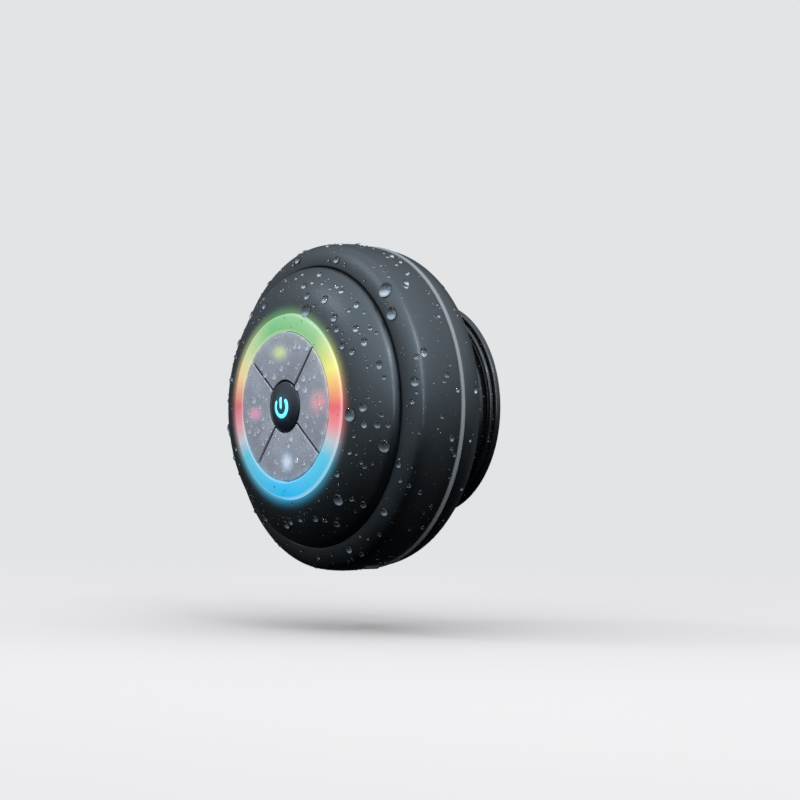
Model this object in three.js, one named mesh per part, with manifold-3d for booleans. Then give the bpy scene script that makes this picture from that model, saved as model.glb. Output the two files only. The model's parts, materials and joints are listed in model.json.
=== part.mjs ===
// Shower speaker: a round, splash-proof loudspeaker that hangs on a wall by a suction cup.
//
// Frame: millimetres, +Z up. The wall is the plane y = 0 and the speaker stands out from it towards -Y,
// so its round axis is the Y axis. A "depth" below is a distance from the wall: depth = -y.
// Angles are in degrees, anticlockwise as seen from the front, with 0 at +X and 90 at +Z.

import * as THREE from 'three';
import { mergeVertices } from 'three/addons/utils/BufferGeometryUtils.js';
import Module from 'manifold-3d';

const wasm = await Module();
wasm.setup();

// ---------------------------------------------------------------- driving dimensions

const BODY_RADIUS = 43; // widest point of the outer shell
const HANG_ANGLE = 7; // the speaker hangs turned a little from upright, in degrees
const WALL = 2; // shell wall thickness
const GAP = 0.3; // clearance between neighbouring parts
const FIT = 0.1; // a close fit between pieces that are screwed or pressed together

const ROUND = 32; // facets round a large part
const DRIVER_ROUND = 20; // facets round the loudspeaker and the middling parts
const SMALL_ROUND = 12; // facets round a small part
const CURVE = 3; // steps along a curved stretch of an outline

// Depths of the main planes.
const BACK_FACE = 13.7;
const SEAM_REAR = 23; // rear shell's front rim
const SEAM_FRONT = 24.4; // main shell's back rim
const COLLAR_BACK = 33.5; // rear edge of the collar that the front dome plugs into
const TAB_FRONT = 35.3; // front of the screw tabs inside that collar
const SKIRT_BACK = 36.2; // rear edge of the front dome's skirt
const BAND_FRONT = 39.25; // front of the outer band, at the groove
const BOARD_BACK = 41.2;
const BOARD_FRONT = 42.4;
const FLANGE_BACK = 46.5; // rear of the keys' flanges
const DOME_FRONT = 48.3;
const KEY_FACE = 49.2;
const BUTTON_TOP = 50.5;

// Radii of the casing.
const SEAM_INNER = 38.8; // inside of both rims
const BARREL_RIM = 42.4; // outside of both rims
const DOME_RADIUS = 36.6;
const GROOVE_OUTER = DOME_RADIUS + GAP;

// Radii on the front face.
const BUTTON_RADIUS = 6.6;
const KEY_INNER = 6.95;
const KEY_OUTER = 19.35;
const LIGHT_INNER = 19.6;
const LIGHT_OUTER = 24;
const SIGN_DISC = 3.3; // the disc behind the lit power sign

// Electronics.
const BOARD_RADIUS = 30.3;
const SWITCH_CIRCLE = 13; // where the four outer switches sit
const KEY_ANGLES = { top: 90, right: 0, bottom: 270, left: 180 };
const LED_CIRCLE = 22.3;
const LED_COUNT = 6;
const CHARGE_BOARD = [30.6, 31.8]; // depths of the charge board's two faces
const MICROPHONE = { x: 10, depth: 28.6, radius: 1.7 };

// Fasteners.
const CASE_SCREW = { circle: 33.2, angles: [45, 135, 225, 315], head: 2.1, shank: 1.15, hole: 1.45 };
const BOARD_SCREW = { circle: 28.3, angles: [30, 150, 270], head: 1.7, shank: 0.8, hole: 1.05 };

// Bayonet between the cup's hub and the rear shell.
const SOCKET_RADIUS = 9.4;
const SOCKET_FLOOR = 19.4;
const PLUG_RADIUS = 7;
const PLUG_FRONT = 18.8;
const LUG_ANGLES = [90, 210, 330];
const LUG_SPAN = 40;
const TAB_SPAN = 50;
const TAB_THICKNESS = 2.3;
const STOP_TURN = 30; // how far past each lug its stop stands
const STOP_SPAN = 16;

// Loudspeaker.
const BAFFLE_RIB = [27.9, 29.3]; // radii of the rib that the baffle sits on
const BAFFLE_DEPTHS = [20.6, 22.1];
const CONE_RADIUS = 15.6;
const COIL_RADII = [4.75, 5.15];
const MAGNET_GAP = [4.5, 5.4]; // radii of the gap that the coil moves in
const MAGNET_BACK = 30; // depth of the magnet system's near end
const POLE_BASE = 35;

// Charging port, on the underside. Its flap turns about a bead at one end.
const PORT_DEPTH = 29;
const PORT_SEAT_RADIUS = 41.75;
const FLAP_INNER = 42;
const FLAP_HINGE_X = -7.7;
const FLAP_HINGE_Z = -41.6;
const FLAP_HALF_DEPTH = 3;

// ---------------------------------------------------------------- materials

const material = (color, roughness, metalness = 0) =>
  new THREE.MeshStandardMaterial({ color, roughness, metalness });

const SOFT_BLACK = material(0x1c2124, 0.55);
const GLOSS_BLACK = material(0x0b0c0e, 0.15);
const RUBBER = material(0x101113, 0.35);
const TRIM = material(0xb9bec4, 0.3, 1);
const DIFFUSER = material(0xf2f4f2, 0.35);
const SMOKE = material(0x75737b, 0.4);
const CYAN = material(0x5fd0e6, 0.3);
const SILICONE = material(0xc9ccce, 0.6);
const BOARD = material(0x14552e, 0.5);
const CHIP = material(0x1a1a1c, 0.5);
const STEEL = material(0x9fa3a8, 0.35, 1);
const FERRITE = material(0x3a3a3d, 0.6);
const PAPER = material(0x26272a, 0.9);
const COPPER = material(0xb0683a, 0.4, 1);
const FOIL = material(0xc7c9cf, 0.4, 0.6);
const FOAM = material(0x2a2b2d, 0.95);
const CABLE = material(0xb3262b, 0.5);
const WHITE = material(0xe9e9e4, 0.5);

// ---------------------------------------------------------------- making solids

// A geometry as a manifold-3d solid, turned right side out.
function solid(geometry) {
  const bare = geometry.index ? geometry.toNonIndexed() : geometry.clone();
  bare.deleteAttribute('normal');
  bare.deleteAttribute('uv');
  const merged = mergeVertices(bare, 1e-4);
  const corners = merged.index.array;
  const kept = [];
  for (let i = 0; i < corners.length; i += 3) {
    const [a, b, c] = corners.slice(i, i + 3);
    if (a !== b && b !== c && a !== c) kept.push(a, b, c);
  }
  const build = (triVerts) =>
    new wasm.Manifold(
      new wasm.Mesh({
        numProp: 3,
        vertProperties: merged.attributes.position.array,
        triVerts: new Uint32Array(triVerts),
      }),
    );
  const made = build(kept);
  return made.volume() < 0 ? build(kept.reverse()) : made;
}

function geometryOf(made) {
  const { numProp, numVert, vertProperties, triVerts } = made.getMesh();
  const positions = new Float32Array(numVert * 3);
  for (let i = 0; i < numVert; i++) {
    positions.set(vertProperties.subarray(i * numProp, i * numProp + 3), i * 3);
  }
  const geometry = new THREE.BufferGeometry();
  geometry.setAttribute('position', new THREE.BufferAttribute(positions, 3));
  geometry.setIndex(new THREE.BufferAttribute(triVerts, 1));
  return geometry;
}

// A closed outline, drawn on (radius, depth) axes, turned about the speaker's axis.
function revolve(path, steps = ROUND) {
  const points = path.getPoints(CURVE).map((p) => new THREE.Vector2(p.x, -p.y));
  const onAxis = points[0].x === 0 && points.at(-1).x === 0;
  if (!onAxis) points.push(points[0].clone());
  return solid(new THREE.LatheGeometry(points, steps));
}

// An outline given by straight lines between [radius, depth] corners.
function outline(...corners) {
  const path = new THREE.Path();
  path.moveTo(...corners[0]);
  corners.slice(1).forEach((corner) => path.lineTo(...corner));
  return path;
}

const ring = (inner, outer, depths, steps = ROUND) =>
  revolve(
    outline([inner, depths[0]], [outer, depths[0]], [outer, depths[1]], [inner, depths[1]]),
    steps,
  );

const disc = (radius, depths, steps = ROUND) =>
  revolve(outline([0, depths[0]], [radius, depths[0]], [radius, depths[1]], [0, depths[1]]), steps);

// A block between two corners, given as [low, high] ranges of x, depth and z.
function block([x0, x1], [d0, d1], [z0, z1]) {
  const box = new THREE.BoxGeometry(x1 - x0, d1 - d0, z1 - z0);
  return solid(box.translate((x0 + x1) / 2, -(d0 + d1) / 2, (z0 + z1) / 2));
}

// A shape drawn on (x, z) axes, given thickness between two depths.
function plate(shape, [d0, d1], steps = CURVE) {
  const made = new THREE.ExtrudeGeometry(shape, {
    depth: d1 - d0,
    bevelEnabled: false,
    curveSegments: steps,
  });
  return solid(made.rotateX(Math.PI / 2).translate(0, -d0, 0));
}

const radians = THREE.MathUtils.degToRad;
const polar = (radius, angle) => [
  radius * Math.cos(radians(angle)),
  radius * Math.sin(radians(angle)),
];

const at = (radius, angle) => {
  const [x, z] = polar(radius, angle);
  return [x, 0, z];
};

// A round pin along the depth axis, centred at [x, z].
function pin(radius, depths, [x, z] = [0, 0], steps = SMALL_ROUND) {
  return disc(radius, depths, steps).translate([x, 0, z]);
}

// A solid turned about the speaker's axis, by an angle as seen from the front.
const turned = (made, angle) => made.rotate([0, -angle, 0]);

// The part of a ring that lies within half of span either side of an angle.
function ringSector(inner, outer, depths, angle, span) {
  const shape = new THREE.Shape();
  const [from, to] = [radians(angle - span / 2), radians(angle + span / 2)];
  shape.absarc(0, 0, outer, from, to, false);
  shape.absarc(0, 0, inner, to, from, true);
  return plate(shape, depths);
}

// A round cable along a smooth curve through [x, depth, z] points.
function cable(radius, ...points) {
  const section = new THREE.Shape().absarc(0, 0, radius, 0, 2 * Math.PI);
  const curve = new THREE.CatmullRomCurve3(points.map(([x, d, z]) => new THREE.Vector3(x, -d, z)));
  return solid(
    new THREE.ExtrudeGeometry(section, { steps: 12, extrudePath: curve, curveSegments: 4 }),
  );
}

function part(name, made, look) {
  const mesh = new THREE.Mesh(geometryOf(made), look);
  mesh.name = name;
  return mesh;
}

// ---------------------------------------------------------------- casing

// The outer surface of the band, from the groove to the trim ring: a crowned face, a soft ridge and a barrel.
function traceBand(path) {
  const ridge = [BODY_RADIUS - 0.9, BAND_FRONT - 2.55];
  const shoulder = [BODY_RADIUS - 0.3, BAND_FRONT - 4.15];
  const crown = 2 * BODY_RADIUS - (shoulder[0] + BARREL_RIM) / 2;
  path.quadraticCurveTo(ridge[0] - 1.5, ridge[1] + 2, ...ridge);
  path.quadraticCurveTo(ridge[0] + 0.45, ridge[1] - 0.6, ...shoulder);
  path.quadraticCurveTo(crown, 30, BARREL_RIM, SEAM_FRONT);
}

// A short-legged J in section: band outside, collar for the front dome inside.
function mainShell() {
  const inside = BODY_RADIUS - WALL;
  const collarOuter = GROOVE_OUTER + 1.6;
  const section = new THREE.Path();
  section.moveTo(GROOVE_OUTER, BAND_FRONT - 0.1);
  section.lineTo(GROOVE_OUTER + 0.2, BAND_FRONT);
  traceBand(section);
  section.lineTo(SEAM_INNER, SEAM_FRONT);
  section.lineTo(SEAM_INNER, SEAM_FRONT + 0.9);
  section.lineTo(inside, SEAM_FRONT + 2.3);
  section.lineTo(inside, 34);
  section.quadraticCurveTo(inside - 0.4, 36, collarOuter + 0.1, 36.2);
  section.lineTo(collarOuter, COLLAR_BACK);
  section.lineTo(GROOVE_OUTER, COLLAR_BACK);
  let made = revolve(section);

  const { circle, angles, hole } = CASE_SCREW;
  for (const angle of angles) {
    const tab = block([circle - 2.8, GROOVE_OUTER + 0.9], [COLLAR_BACK, TAB_FRONT], [-3.4, 3.4]);
    const drill = pin(hole, [COLLAR_BACK - 0.5, TAB_FRONT + 0.7], [circle, 0]);
    made = made.add(turned(tab.subtract(drill), angle));
  }
  return made.add(boardRibs()).subtract(portPocket()).subtract(microphoneHole());
}

// Two ribs that hold the charge board by its side edges.
function boardRibs() {
  const depths = [CHARGE_BOARD[0] - 1, CHARGE_BOARD[1] + 1.2];
  const left = block([-9.7, -8.3], depths, [-40.6, -33]);
  const right = block([14.3, 15.7], depths, [-39.6, -33]);
  return left.add(right);
}

// The flap's seat, sunk into the band, and the port's opening through the wall.
function portPocket() {
  const [seat, mouth] = [FLAP_HALF_DEPTH + 0.4, 1.8];
  const sunk = block([FLAP_HINGE_X - 1.3, 7.4], [PORT_DEPTH - seat, PORT_DEPTH + seat], [-46, -36]).subtract(
    disc(PORT_SEAT_RADIUS, [20, 36]),
  );
  const opening = block([-4.6, 4.8], [PORT_DEPTH - mouth, PORT_DEPTH + mouth], [-46, -38]);
  return sunk.add(opening);
}

// A round solid along the up axis at the microphone's place, between two heights.
function uprightPin(radius, [low, high]) {
  const made = new THREE.CylinderGeometry(radius, radius, high - low, SMALL_ROUND).rotateX(Math.PI / 2);
  return solid(made.translate(MICROPHONE.x, -MICROPHONE.depth, (low + high) / 2));
}

const microphoneHole = () => uprightPin(0.7, [-44, -38]);

// The raised dome round the light ring, with a skirt that plugs into the main shell.
function frontDome() {
  const inner = LIGHT_OUTER + GAP;
  const section = new THREE.Path();
  section.moveTo(inner, DOME_FRONT);
  section.quadraticCurveTo(31.7, DOME_FRONT - 1.2, DOME_RADIUS - 0.7, 41.4);
  section.quadraticCurveTo(DOME_RADIUS, 40.4, DOME_RADIUS, 39.2);
  section.lineTo(DOME_RADIUS, SKIRT_BACK);
  section.lineTo(DOME_RADIUS - 1.3, SKIRT_BACK);
  section.lineTo(DOME_RADIUS - 1.7, 40);
  section.quadraticCurveTo(31.2, 45, inner + 1.6, 46.4);
  section.lineTo(inner + 1.3, 46.9);
  section.lineTo(inner, 47);
  let made = revolve(section);

  for (const angle of CASE_SCREW.angles) {
    const centre = polar(CASE_SCREW.circle, angle);
    const thread = pin(CASE_SCREW.shank + 0.2, [35, 40.2], centre);
    made = made.add(pin(2.5, [TAB_FRONT + GAP, 41], centre)).subtract(thread);
  }
  for (const angle of BOARD_SCREW.angles) {
    const centre = polar(BOARD_SCREW.circle, angle);
    const thread = pin(BOARD_SCREW.hole, [42, 45.4], centre);
    made = made.add(pin(2.2, [BOARD_FRONT + GAP, 45.9], centre)).subtract(thread);
  }
  return made;
}

// A band with eased edges that stands a little proud of the seam between the two shells.
function trimRing() {
  const [back, front] = [SEAM_REAR + FIT, SEAM_FRONT - FIT];
  const [inner, outer, ease] = [41.3, BARREL_RIM + 0.35, 0.15];
  return revolve(
    outline(
      [inner, back],
      [outer - ease, back],
      [outer, back + ease],
      [outer, front - ease],
      [outer - ease, front],
      [inner, front],
    ),
  );
}

const housingSeal = () => ring(SEAM_INNER + 0.2, 41, [SEAM_REAR + 0.4, SEAM_FRONT - 0.5]);

// The back cover: bowl, bayonet socket in the middle, screw bosses, grille slots and a rib for the baffle.
function rearShell() {
  const inside = BACK_FACE + WALL;
  const socketFront = SOCKET_FLOOR + 1.6;
  const socketOuter = SOCKET_RADIUS + 1.8;
  const ribFront = BAFFLE_DEPTHS[0] - 1.3;
  const section = new THREE.Path();
  section.moveTo(0, socketFront);
  section.lineTo(socketOuter, socketFront);
  section.lineTo(socketOuter, inside);
  section.lineTo(BAFFLE_RIB[0], inside);
  section.lineTo(BAFFLE_RIB[0], ribFront);
  section.lineTo(BAFFLE_RIB[1], ribFront);
  section.lineTo(BAFFLE_RIB[1], inside);
  section.quadraticCurveTo(SEAM_INNER - 0.1, inside, SEAM_INNER, SEAM_REAR - WALL);
  section.lineTo(SEAM_INNER, SEAM_REAR);
  section.lineTo(BARREL_RIM, SEAM_REAR);
  section.quadraticCurveTo(BARREL_RIM - 0.3, 17.2, 38, BACK_FACE + 1.3);
  section.quadraticCurveTo(35.8, BACK_FACE, 32, BACK_FACE);
  section.lineTo(SOCKET_RADIUS, BACK_FACE);
  section.lineTo(SOCKET_RADIUS, SOCKET_FLOOR);
  section.lineTo(0, SOCKET_FLOOR);
  let made = revolve(section);

  const { circle, angles, head, hole } = CASE_SCREW;
  for (const angle of angles) {
    const centre = polar(circle, angle);
    made = made
      .add(pin(hole + 1.85, [inside - 1, COLLAR_BACK - GAP], centre))
      .subtract(pin(head + GAP, [10, 25.4], centre))
      .subtract(pin(hole, [20, 40], centre));
  }
  made = made.subtract(grilleSlots());
  return made.add(bayonetTabs());
}

// Sound leaves through a ring of slots in the back.
function grilleSlots() {
  const [count, width] = [16, 1.8];
  const slot = block([20.6, 26.4], [10, 16.5], [-width / 2, width / 2]);
  const slots = Array.from({ length: count }, (_, i) => turned(slot, (i * 360) / count));
  return slots.reduce((all, one) => all.add(one));
}

// Three tabs that hold the hub's lugs in, and three stops that end its turn.
function bayonetTabs() {
  const [inner, outer] = [PLUG_RADIUS + 0.4, SOCKET_RADIUS + 0.5];
  const tabFront = BACK_FACE + TAB_THICKNESS;
  const pieces = LUG_ANGLES.flatMap((lug) => [
    ringSector(inner, outer, [BACK_FACE, tabFront], lug, TAB_SPAN),
    ringSector(inner, outer, [tabFront - 0.5, SOCKET_FLOOR + 0.1], lug + STOP_TURN, STOP_SPAN),
  ]);
  return pieces.reduce((all, one) => all.add(one));
}

// A pan-head screw: head towards the wall, shank towards the front.
function screw({ circle, head, shank }, angle, [back, seat, tip]) {
  const cap = disc(head, [back, seat], SMALL_ROUND);
  const stem = disc(shank, [seat - 0.1, tip], SMALL_ROUND);
  return cap.add(stem).translate(at(circle, angle));
}

const caseScrew = (angle) => screw(CASE_SCREW, angle, [23.8, 25.1, 39.8]);

// ---------------------------------------------------------------- light ring and keys

// A crowned diffuser with a flange under the dome and a ledge for the keypad membrane.
function lightRing() {
  const [flange, ledge, recess] = [LIGHT_OUTER + 1.3, LIGHT_INNER - 0.9, LIGHT_INNER + 1];
  const [back, ledgeFront] = [44.2, 44.9];
  const section = new THREE.Path();
  section.moveTo(LIGHT_INNER, KEY_FACE - 0.15);
  section.quadraticCurveTo(22, KEY_FACE + 0.15, LIGHT_OUTER, DOME_FRONT + FIT);
  section.lineTo(LIGHT_OUTER, 46.6);
  section.lineTo(flange, 46.5);
  section.lineTo(flange, 45.5);
  section.lineTo(LIGHT_OUTER, back);
  section.lineTo(ledge, back);
  section.lineTo(ledge, ledgeFront);
  section.lineTo(recess, ledgeFront);
  section.lineTo(recess, 47.3);
  section.lineTo(LIGHT_INNER, 47.4);
  return revolve(section);
}

// One quarter of the key ring, with a thin slit to each neighbour and a nub above its switch.
function key(angle) {
  const [slit, reach, ease] = [0.5, 30, 0.2];
  const corner = slit * Math.SQRT1_2;
  const wedge = new THREE.Shape();
  wedge.moveTo(corner, 0);
  wedge.lineTo(corner + reach, -reach);
  wedge.lineTo(corner + reach, reach);
  const flange = [KEY_OUTER + 0.9, FLANGE_BACK + 0.5];
  const quarter = revolve(
    outline(
      [KEY_INNER, flange[1]],
      [KEY_OUTER, flange[1]],
      [KEY_OUTER, FLANGE_BACK],
      [flange[0], FLANGE_BACK],
      [flange[0], flange[1] + 0.05],
      [KEY_OUTER, flange[1] + 0.1],
      [KEY_OUTER, KEY_FACE - ease],
      [KEY_OUTER - ease, KEY_FACE],
      [KEY_INNER, KEY_FACE],
    ),
  ).intersect(plate(wedge, [45, 51]));
  const nub = pin(1.6, [46, flange[1] + 0.5], [SWITCH_CIRCLE, 0]);
  return turned(quarter.add(nub), angle);
}

// The power sign: a bar through the gap of a broken ring, grown a little where it's cut from the button.
function powerSign(grow = 0) {
  const depths = [47.5, 51];
  const [halfBar, low, high] = [0.48 + grow, -0.75 - grow, 2.5 + grow];
  const bar = block([-halfBar, halfBar], depths, [low, high]);
  const gap = 96 - 8 * grow;
  const arc = ringSector(1.95 - grow, 2.95 + grow, depths, 270, 360 - gap);
  return bar.add(arc.translate([0, 0, -0.15]));
}

// The domed top of the power button, as a solid to trim things to its surface.
function buttonDome(drop = 0) {
  const top = BUTTON_TOP - drop;
  const section = new THREE.Path();
  section.moveTo(0, 40);
  section.lineTo(BUTTON_RADIUS, 40);
  section.lineTo(BUTTON_RADIUS, top - 1.8);
  section.quadraticCurveTo(BUTTON_RADIUS - 0.2, top - 0.3, 0, top);
  return revolve(section, DRIVER_ROUND);
}

const signStem = (radius, depths) => disc(radius, depths, SMALL_ROUND);

function powerButton() {
  const back = FLANGE_BACK - 0.2;
  const blank = buttonDome().intersect(disc(10, [back, 52]));
  const flange = ring(BUTTON_RADIUS - 1, BUTTON_RADIUS + 0.8, [back, back + 0.3], DRIVER_ROUND);
  const hollow = signStem(SIGN_DISC + FIT, [45, 48.7]);
  return blank.add(flange).subtract(powerSign(0.04)).subtract(hollow);
}

// A light pipe: the sign, level with the button's dome, on a disc that joins its strokes.
function powerIcon() {
  const raised = powerSign().intersect(buttonDome(0.02));
  return raised.add(signStem(SIGN_DISC, [46, 48.6]));
}

const keypadMembrane = () => ring(0.9, 20.2, [45.1, 45.9]);

// ---------------------------------------------------------------- electronics

function mainBoard() {
  let made = disc(BOARD_RADIUS, [BOARD_BACK, BOARD_FRONT], DRIVER_ROUND);
  const { circle, angles, hole } = BOARD_SCREW;
  for (const angle of angles) {
    made = made.subtract(pin(hole, [BOARD_BACK - 1, BOARD_FRONT + 1], polar(circle, angle)));
  }
  return made;
}

const boardScrew = (angle) => screw(BOARD_SCREW, angle, [39.8, 40.9, 45.2]);

function switchBody(place) {
  const [half, well] = [2.25, 1.35];
  const base = BOARD_FRONT + FIT;
  const body = block([-half, half], [base, base + 1.8], [-half, half]);
  return body.subtract(disc(well, [base + 0.3, base + 3], SMALL_ROUND)).translate(place);
}

const switchPlunger = (place) => disc(1.15, [43.2, 45], SMALL_ROUND).translate(place);

function led(angle) {
  const half = 1.6;
  const chip = block([-half, half], [BOARD_FRONT + FIT, BOARD_FRONT + 1.4], [-half, half]);
  return turned(chip.translate([LED_CIRCLE, 0, 0]), angle);
}

// A flat pouch cell with its two lower corners cut.
function battery() {
  const [half, bottom, top, cut] = [15.5, -9, 15, 1];
  const pouch = new THREE.Shape();
  pouch.moveTo(-half, bottom + cut);
  pouch.lineTo(cut - half, bottom);
  pouch.lineTo(half - cut, bottom);
  pouch.lineTo(half, bottom + cut);
  pouch.lineTo(half, top);
  pouch.lineTo(-half, top);
  return plate(pouch, [BOARD_BACK - 4.4, BOARD_BACK - 0.6]);
}

const bluetoothModule = () => block([-7, 7], [BOARD_BACK - 2.2, BOARD_BACK - 0.2], [-22, -12]);

const chargeBoard = () => block([-8, 14], CHARGE_BOARD, [-37.8, -29.5]);

function usbSocket() {
  const [width, height, sheet] = [3.9, 1.4, 0.4];
  const around = (size) => [PORT_DEPTH - size, PORT_DEPTH + size];
  const shell = block([-width, width], around(height), [-39.2, -34]);
  const mouth = block([sheet - width, width - sheet], around(height - sheet), [-40, -35]);
  const tongue = block([-2.4, 2.4], [PORT_DEPTH, PORT_DEPTH + 0.6], [-38.6, -34.5]);
  return shell.subtract(mouth).add(tongue);
}

const microphone = () => uprightPin(MICROPHONE.radius, [-38.4, -36.2]);

// Each cable ends just short of the main board's back.
const CABLE_END = BOARD_BACK - 0.4;
const batteryCable = () =>
  cable(0.7, [11, 38.7, -9.8], [12.5, 38.6, -13], [13, 39.2, -15.6], [13, CABLE_END, -16]);
const speakerCable = () =>
  cable(0.7, [-20.4, 24.6, 0], [-24, 28, 0], [-24.5, 35, 0], [-24, CABLE_END, 0]);
const chargeCable = () =>
  cable(0.8, [4, 32, -31], [4, 35, -31.5], [4, 38.6, -28], [4, CABLE_END, -27]);

// A curved flap that follows the band, with a plug for the port, a hinge bead and a finger lip.
function usbCover() {
  const around = (size) => [PORT_DEPTH - size, PORT_DEPTH + size];
  const band = new THREE.Path();
  band.moveTo(38, BAND_FRONT);
  band.lineTo(GROOVE_OUTER, BAND_FRONT);
  traceBand(band);
  band.lineTo(38, SEAM_FRONT);
  const skin = revolve(band, 120).subtract(disc(FLAP_INNER, [20, 40], 120));
  const cover = block([-7.6, 7.1], around(FLAP_HALF_DEPTH), [-46, -36]).intersect(skin);
  const plug = block([-4.1, 4.1], around(1.4), [-42.2, -39.7]);
  const bead = pin(0.5, around(FLAP_HALF_DEPTH), [FLAP_HINGE_X, FLAP_HINGE_Z]);
  const lip = block([5.2, 7.1], around(2.2), [-43.3, -41.9]);
  return cover.add(plug).add(bead).add(lip);
}

// ---------------------------------------------------------------- loudspeaker, facing the wall

const driverBaffle = () => ring(18.7, BAFFLE_RIB[1], BAFFLE_DEPTHS, DRIVER_ROUND);

function driverGasket() {
  const baffle = BAFFLE_DEPTHS[0];
  return ring(BAFFLE_RIB[0] + FIT, BAFFLE_RIB[1] - FIT, [baffle - 1, baffle - GAP], DRIVER_ROUND);
}

const grilleCloth = () => ring(19.8, 27.3, [BACK_FACE + 2.2, BACK_FACE + 2.5], DRIVER_ROUND);

const driverBasket = () =>
  revolve(
    outline(
      [20.8, 22.4],
      [20.8, 23.3],
      [19.2, 23.5],
      [15, 28.9],
      [12, 29.9],
      [6, 29.9],
      [6, 29.1],
      [11.8, 29.1],
      [14.3, 28.3],
      [18.3, 22.9],
      [18.5, 22.4],
    ),
    DRIVER_ROUND,
  );

const driverTopPlate = () => ring(MAGNET_GAP[1], 12, [MAGNET_BACK, 31.8], DRIVER_ROUND);
const driverMagnet = () => ring(7, 12.6, [31.9, POLE_BASE - FIT], DRIVER_ROUND);

// A pole that fills the coil, on a round base.
const driverYoke = () =>
  revolve(
    outline(
      [0, POLE_BASE + 1.5],
      [12, POLE_BASE + 1.5],
      [12, POLE_BASE],
      [MAGNET_GAP[0], POLE_BASE],
      [MAGNET_GAP[0], MAGNET_BACK],
      [0, MAGNET_BACK],
    ),
    DRIVER_ROUND,
  );

const voiceCoil = () => ring(...COIL_RADII, [25.2, 33], 24);

const driverCone = () =>
  revolve(
    outline(
      [4.6, 24.7],
      [5.6, 24.7],
      [CONE_RADIUS - 0.7, 22.8],
      [CONE_RADIUS, 22.8],
      [CONE_RADIUS, 23.1],
      [CONE_RADIUS - 0.6, 23.2],
      [5.6, 25.1],
      [4.6, 25.1],
    ),
    DRIVER_ROUND,
  );

function dustCap() {
  const section = new THREE.Path();
  section.moveTo(0, 22.9);
  section.quadraticCurveTo(4, 23, 5.4, 24.4);
  section.lineTo(4.9, 24.6);
  section.quadraticCurveTo(3.6, 23.5, 0, 23.3);
  return revolve(section, 24);
}

// A half roll between the cone's edge and the basket.
function driverSurround() {
  const section = new THREE.Path();
  section.moveTo(CONE_RADIUS + FIT, 22.5);
  section.quadraticCurveTo(CONE_RADIUS + 1.2, 20.4, CONE_RADIUS + 2.5, 22.5);
  section.lineTo(CONE_RADIUS + 2.2, 22.7);
  section.quadraticCurveTo(CONE_RADIUS + 1.2, 20.9, CONE_RADIUS + 0.4, 22.8);
  return revolve(section, DRIVER_ROUND);
}

// The waved cloth disc that centres the coil.
function driverSpider() {
  const [thickness, near] = [0.3, [[5.3, 27.6], [7.6, 27.2], [10.5, 27.8], [14.2, 27.4]]];
  const far = near.map(([radius, depth]) => [radius, depth + thickness]).reverse();
  return revolve(outline(...near, ...far), DRIVER_ROUND);
}

// ---------------------------------------------------------------- suction cup

// A cup pressed flat: sealing lip, thin hollow and centre pad on the wall; in front a rolled edge, a
// round ridge, the bell and the neck.
function suctionCup() {
  const section = new THREE.Path();
  section.moveTo(0, 0);
  section.lineTo(4.5, 0);
  section.quadraticCurveTo(12, 2.2, 21, 0);
  section.lineTo(28.6, 0);
  section.lineTo(28.6, 0.6);
  section.quadraticCurveTo(28.3, 1.9, 27.3, 1);
  section.quadraticCurveTo(27.1, 2.7, 26.4, 2.3);
  section.quadraticCurveTo(25.7, 2, 25.6, 1.1);
  section.quadraticCurveTo(24.6, 1.3, 24, 2.9);
  section.quadraticCurveTo(21.5, 8.6, 12.4, 9.6);
  section.lineTo(11.4, 10.2);
  section.lineTo(10.8, 12.9);
  section.lineTo(0, 12.9);
  return revolve(section).subtract(hubShape(0.05));
}

// The hub's flange and stem, which the rubber is moulded round.
function hubShape(grow = 0) {
  const [flange, stem] = [8 + grow, 5.6 + grow];
  const [back, front, end] = [5 - grow, 6.8 + grow, 13.4];
  return revolve(
    outline([0, back], [flange, back], [flange, front], [stem, front], [stem, end], [0, end]),
    DRIVER_ROUND,
  );
}

// The hub that carries the cup: a plug with three lugs for the rear shell's bayonet.
function cupHub() {
  let made = hubShape().add(disc(PLUG_RADIUS, [13.3, PLUG_FRONT], DRIVER_ROUND));
  const radii = [PLUG_RADIUS - 0.5, SOCKET_RADIUS - 0.35];
  const depths = [BACK_FACE + TAB_THICKNESS + 0.4, PLUG_FRONT];
  for (const angle of LUG_ANGLES) {
    made = made.add(ringSector(...radii, depths, angle, LUG_SPAN));
  }
  return made;
}

// ---------------------------------------------------------------- assembly

const speaker = new THREE.Group();
speaker.rotation.y = -radians(HANG_ANGLE);

speaker.add(part('suction_cup', suctionCup(), RUBBER), part('cup_hub', cupHub(), GLOSS_BLACK));

speaker.add(
  part('main_shell', mainShell(), SOFT_BLACK),
  part('front_dome', frontDome(), SOFT_BLACK),
  part('rear_shell', rearShell(), SOFT_BLACK),
  part('trim_ring', trimRing(), TRIM),
  part('housing_seal', housingSeal(), SILICONE),
  part('light_ring', lightRing(), DIFFUSER),
  part('power_button', powerButton(), GLOSS_BLACK),
  part('power_icon', powerIcon(), CYAN),
  part('keypad_membrane', keypadMembrane(), RUBBER),
);
CASE_SCREW.angles.forEach((angle, i) => {
  speaker.add(part(`case_screw_${i + 1}`, caseScrew(angle), STEEL));
});

for (const [side, angle] of Object.entries(KEY_ANGLES)) {
  const place = at(SWITCH_CIRCLE, angle);
  speaker.add(
    part(`key_${side}`, key(angle), SMOKE),
    part(`switch_${side}`, switchBody(place), STEEL),
    part(`plunger_${side}`, switchPlunger(place), CHIP),
  );
}
speaker.add(
  part('switch_power', switchBody([0, 0, 0]), STEEL),
  part('plunger_power', switchPlunger([0, 0, 0]), CHIP),
);

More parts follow.
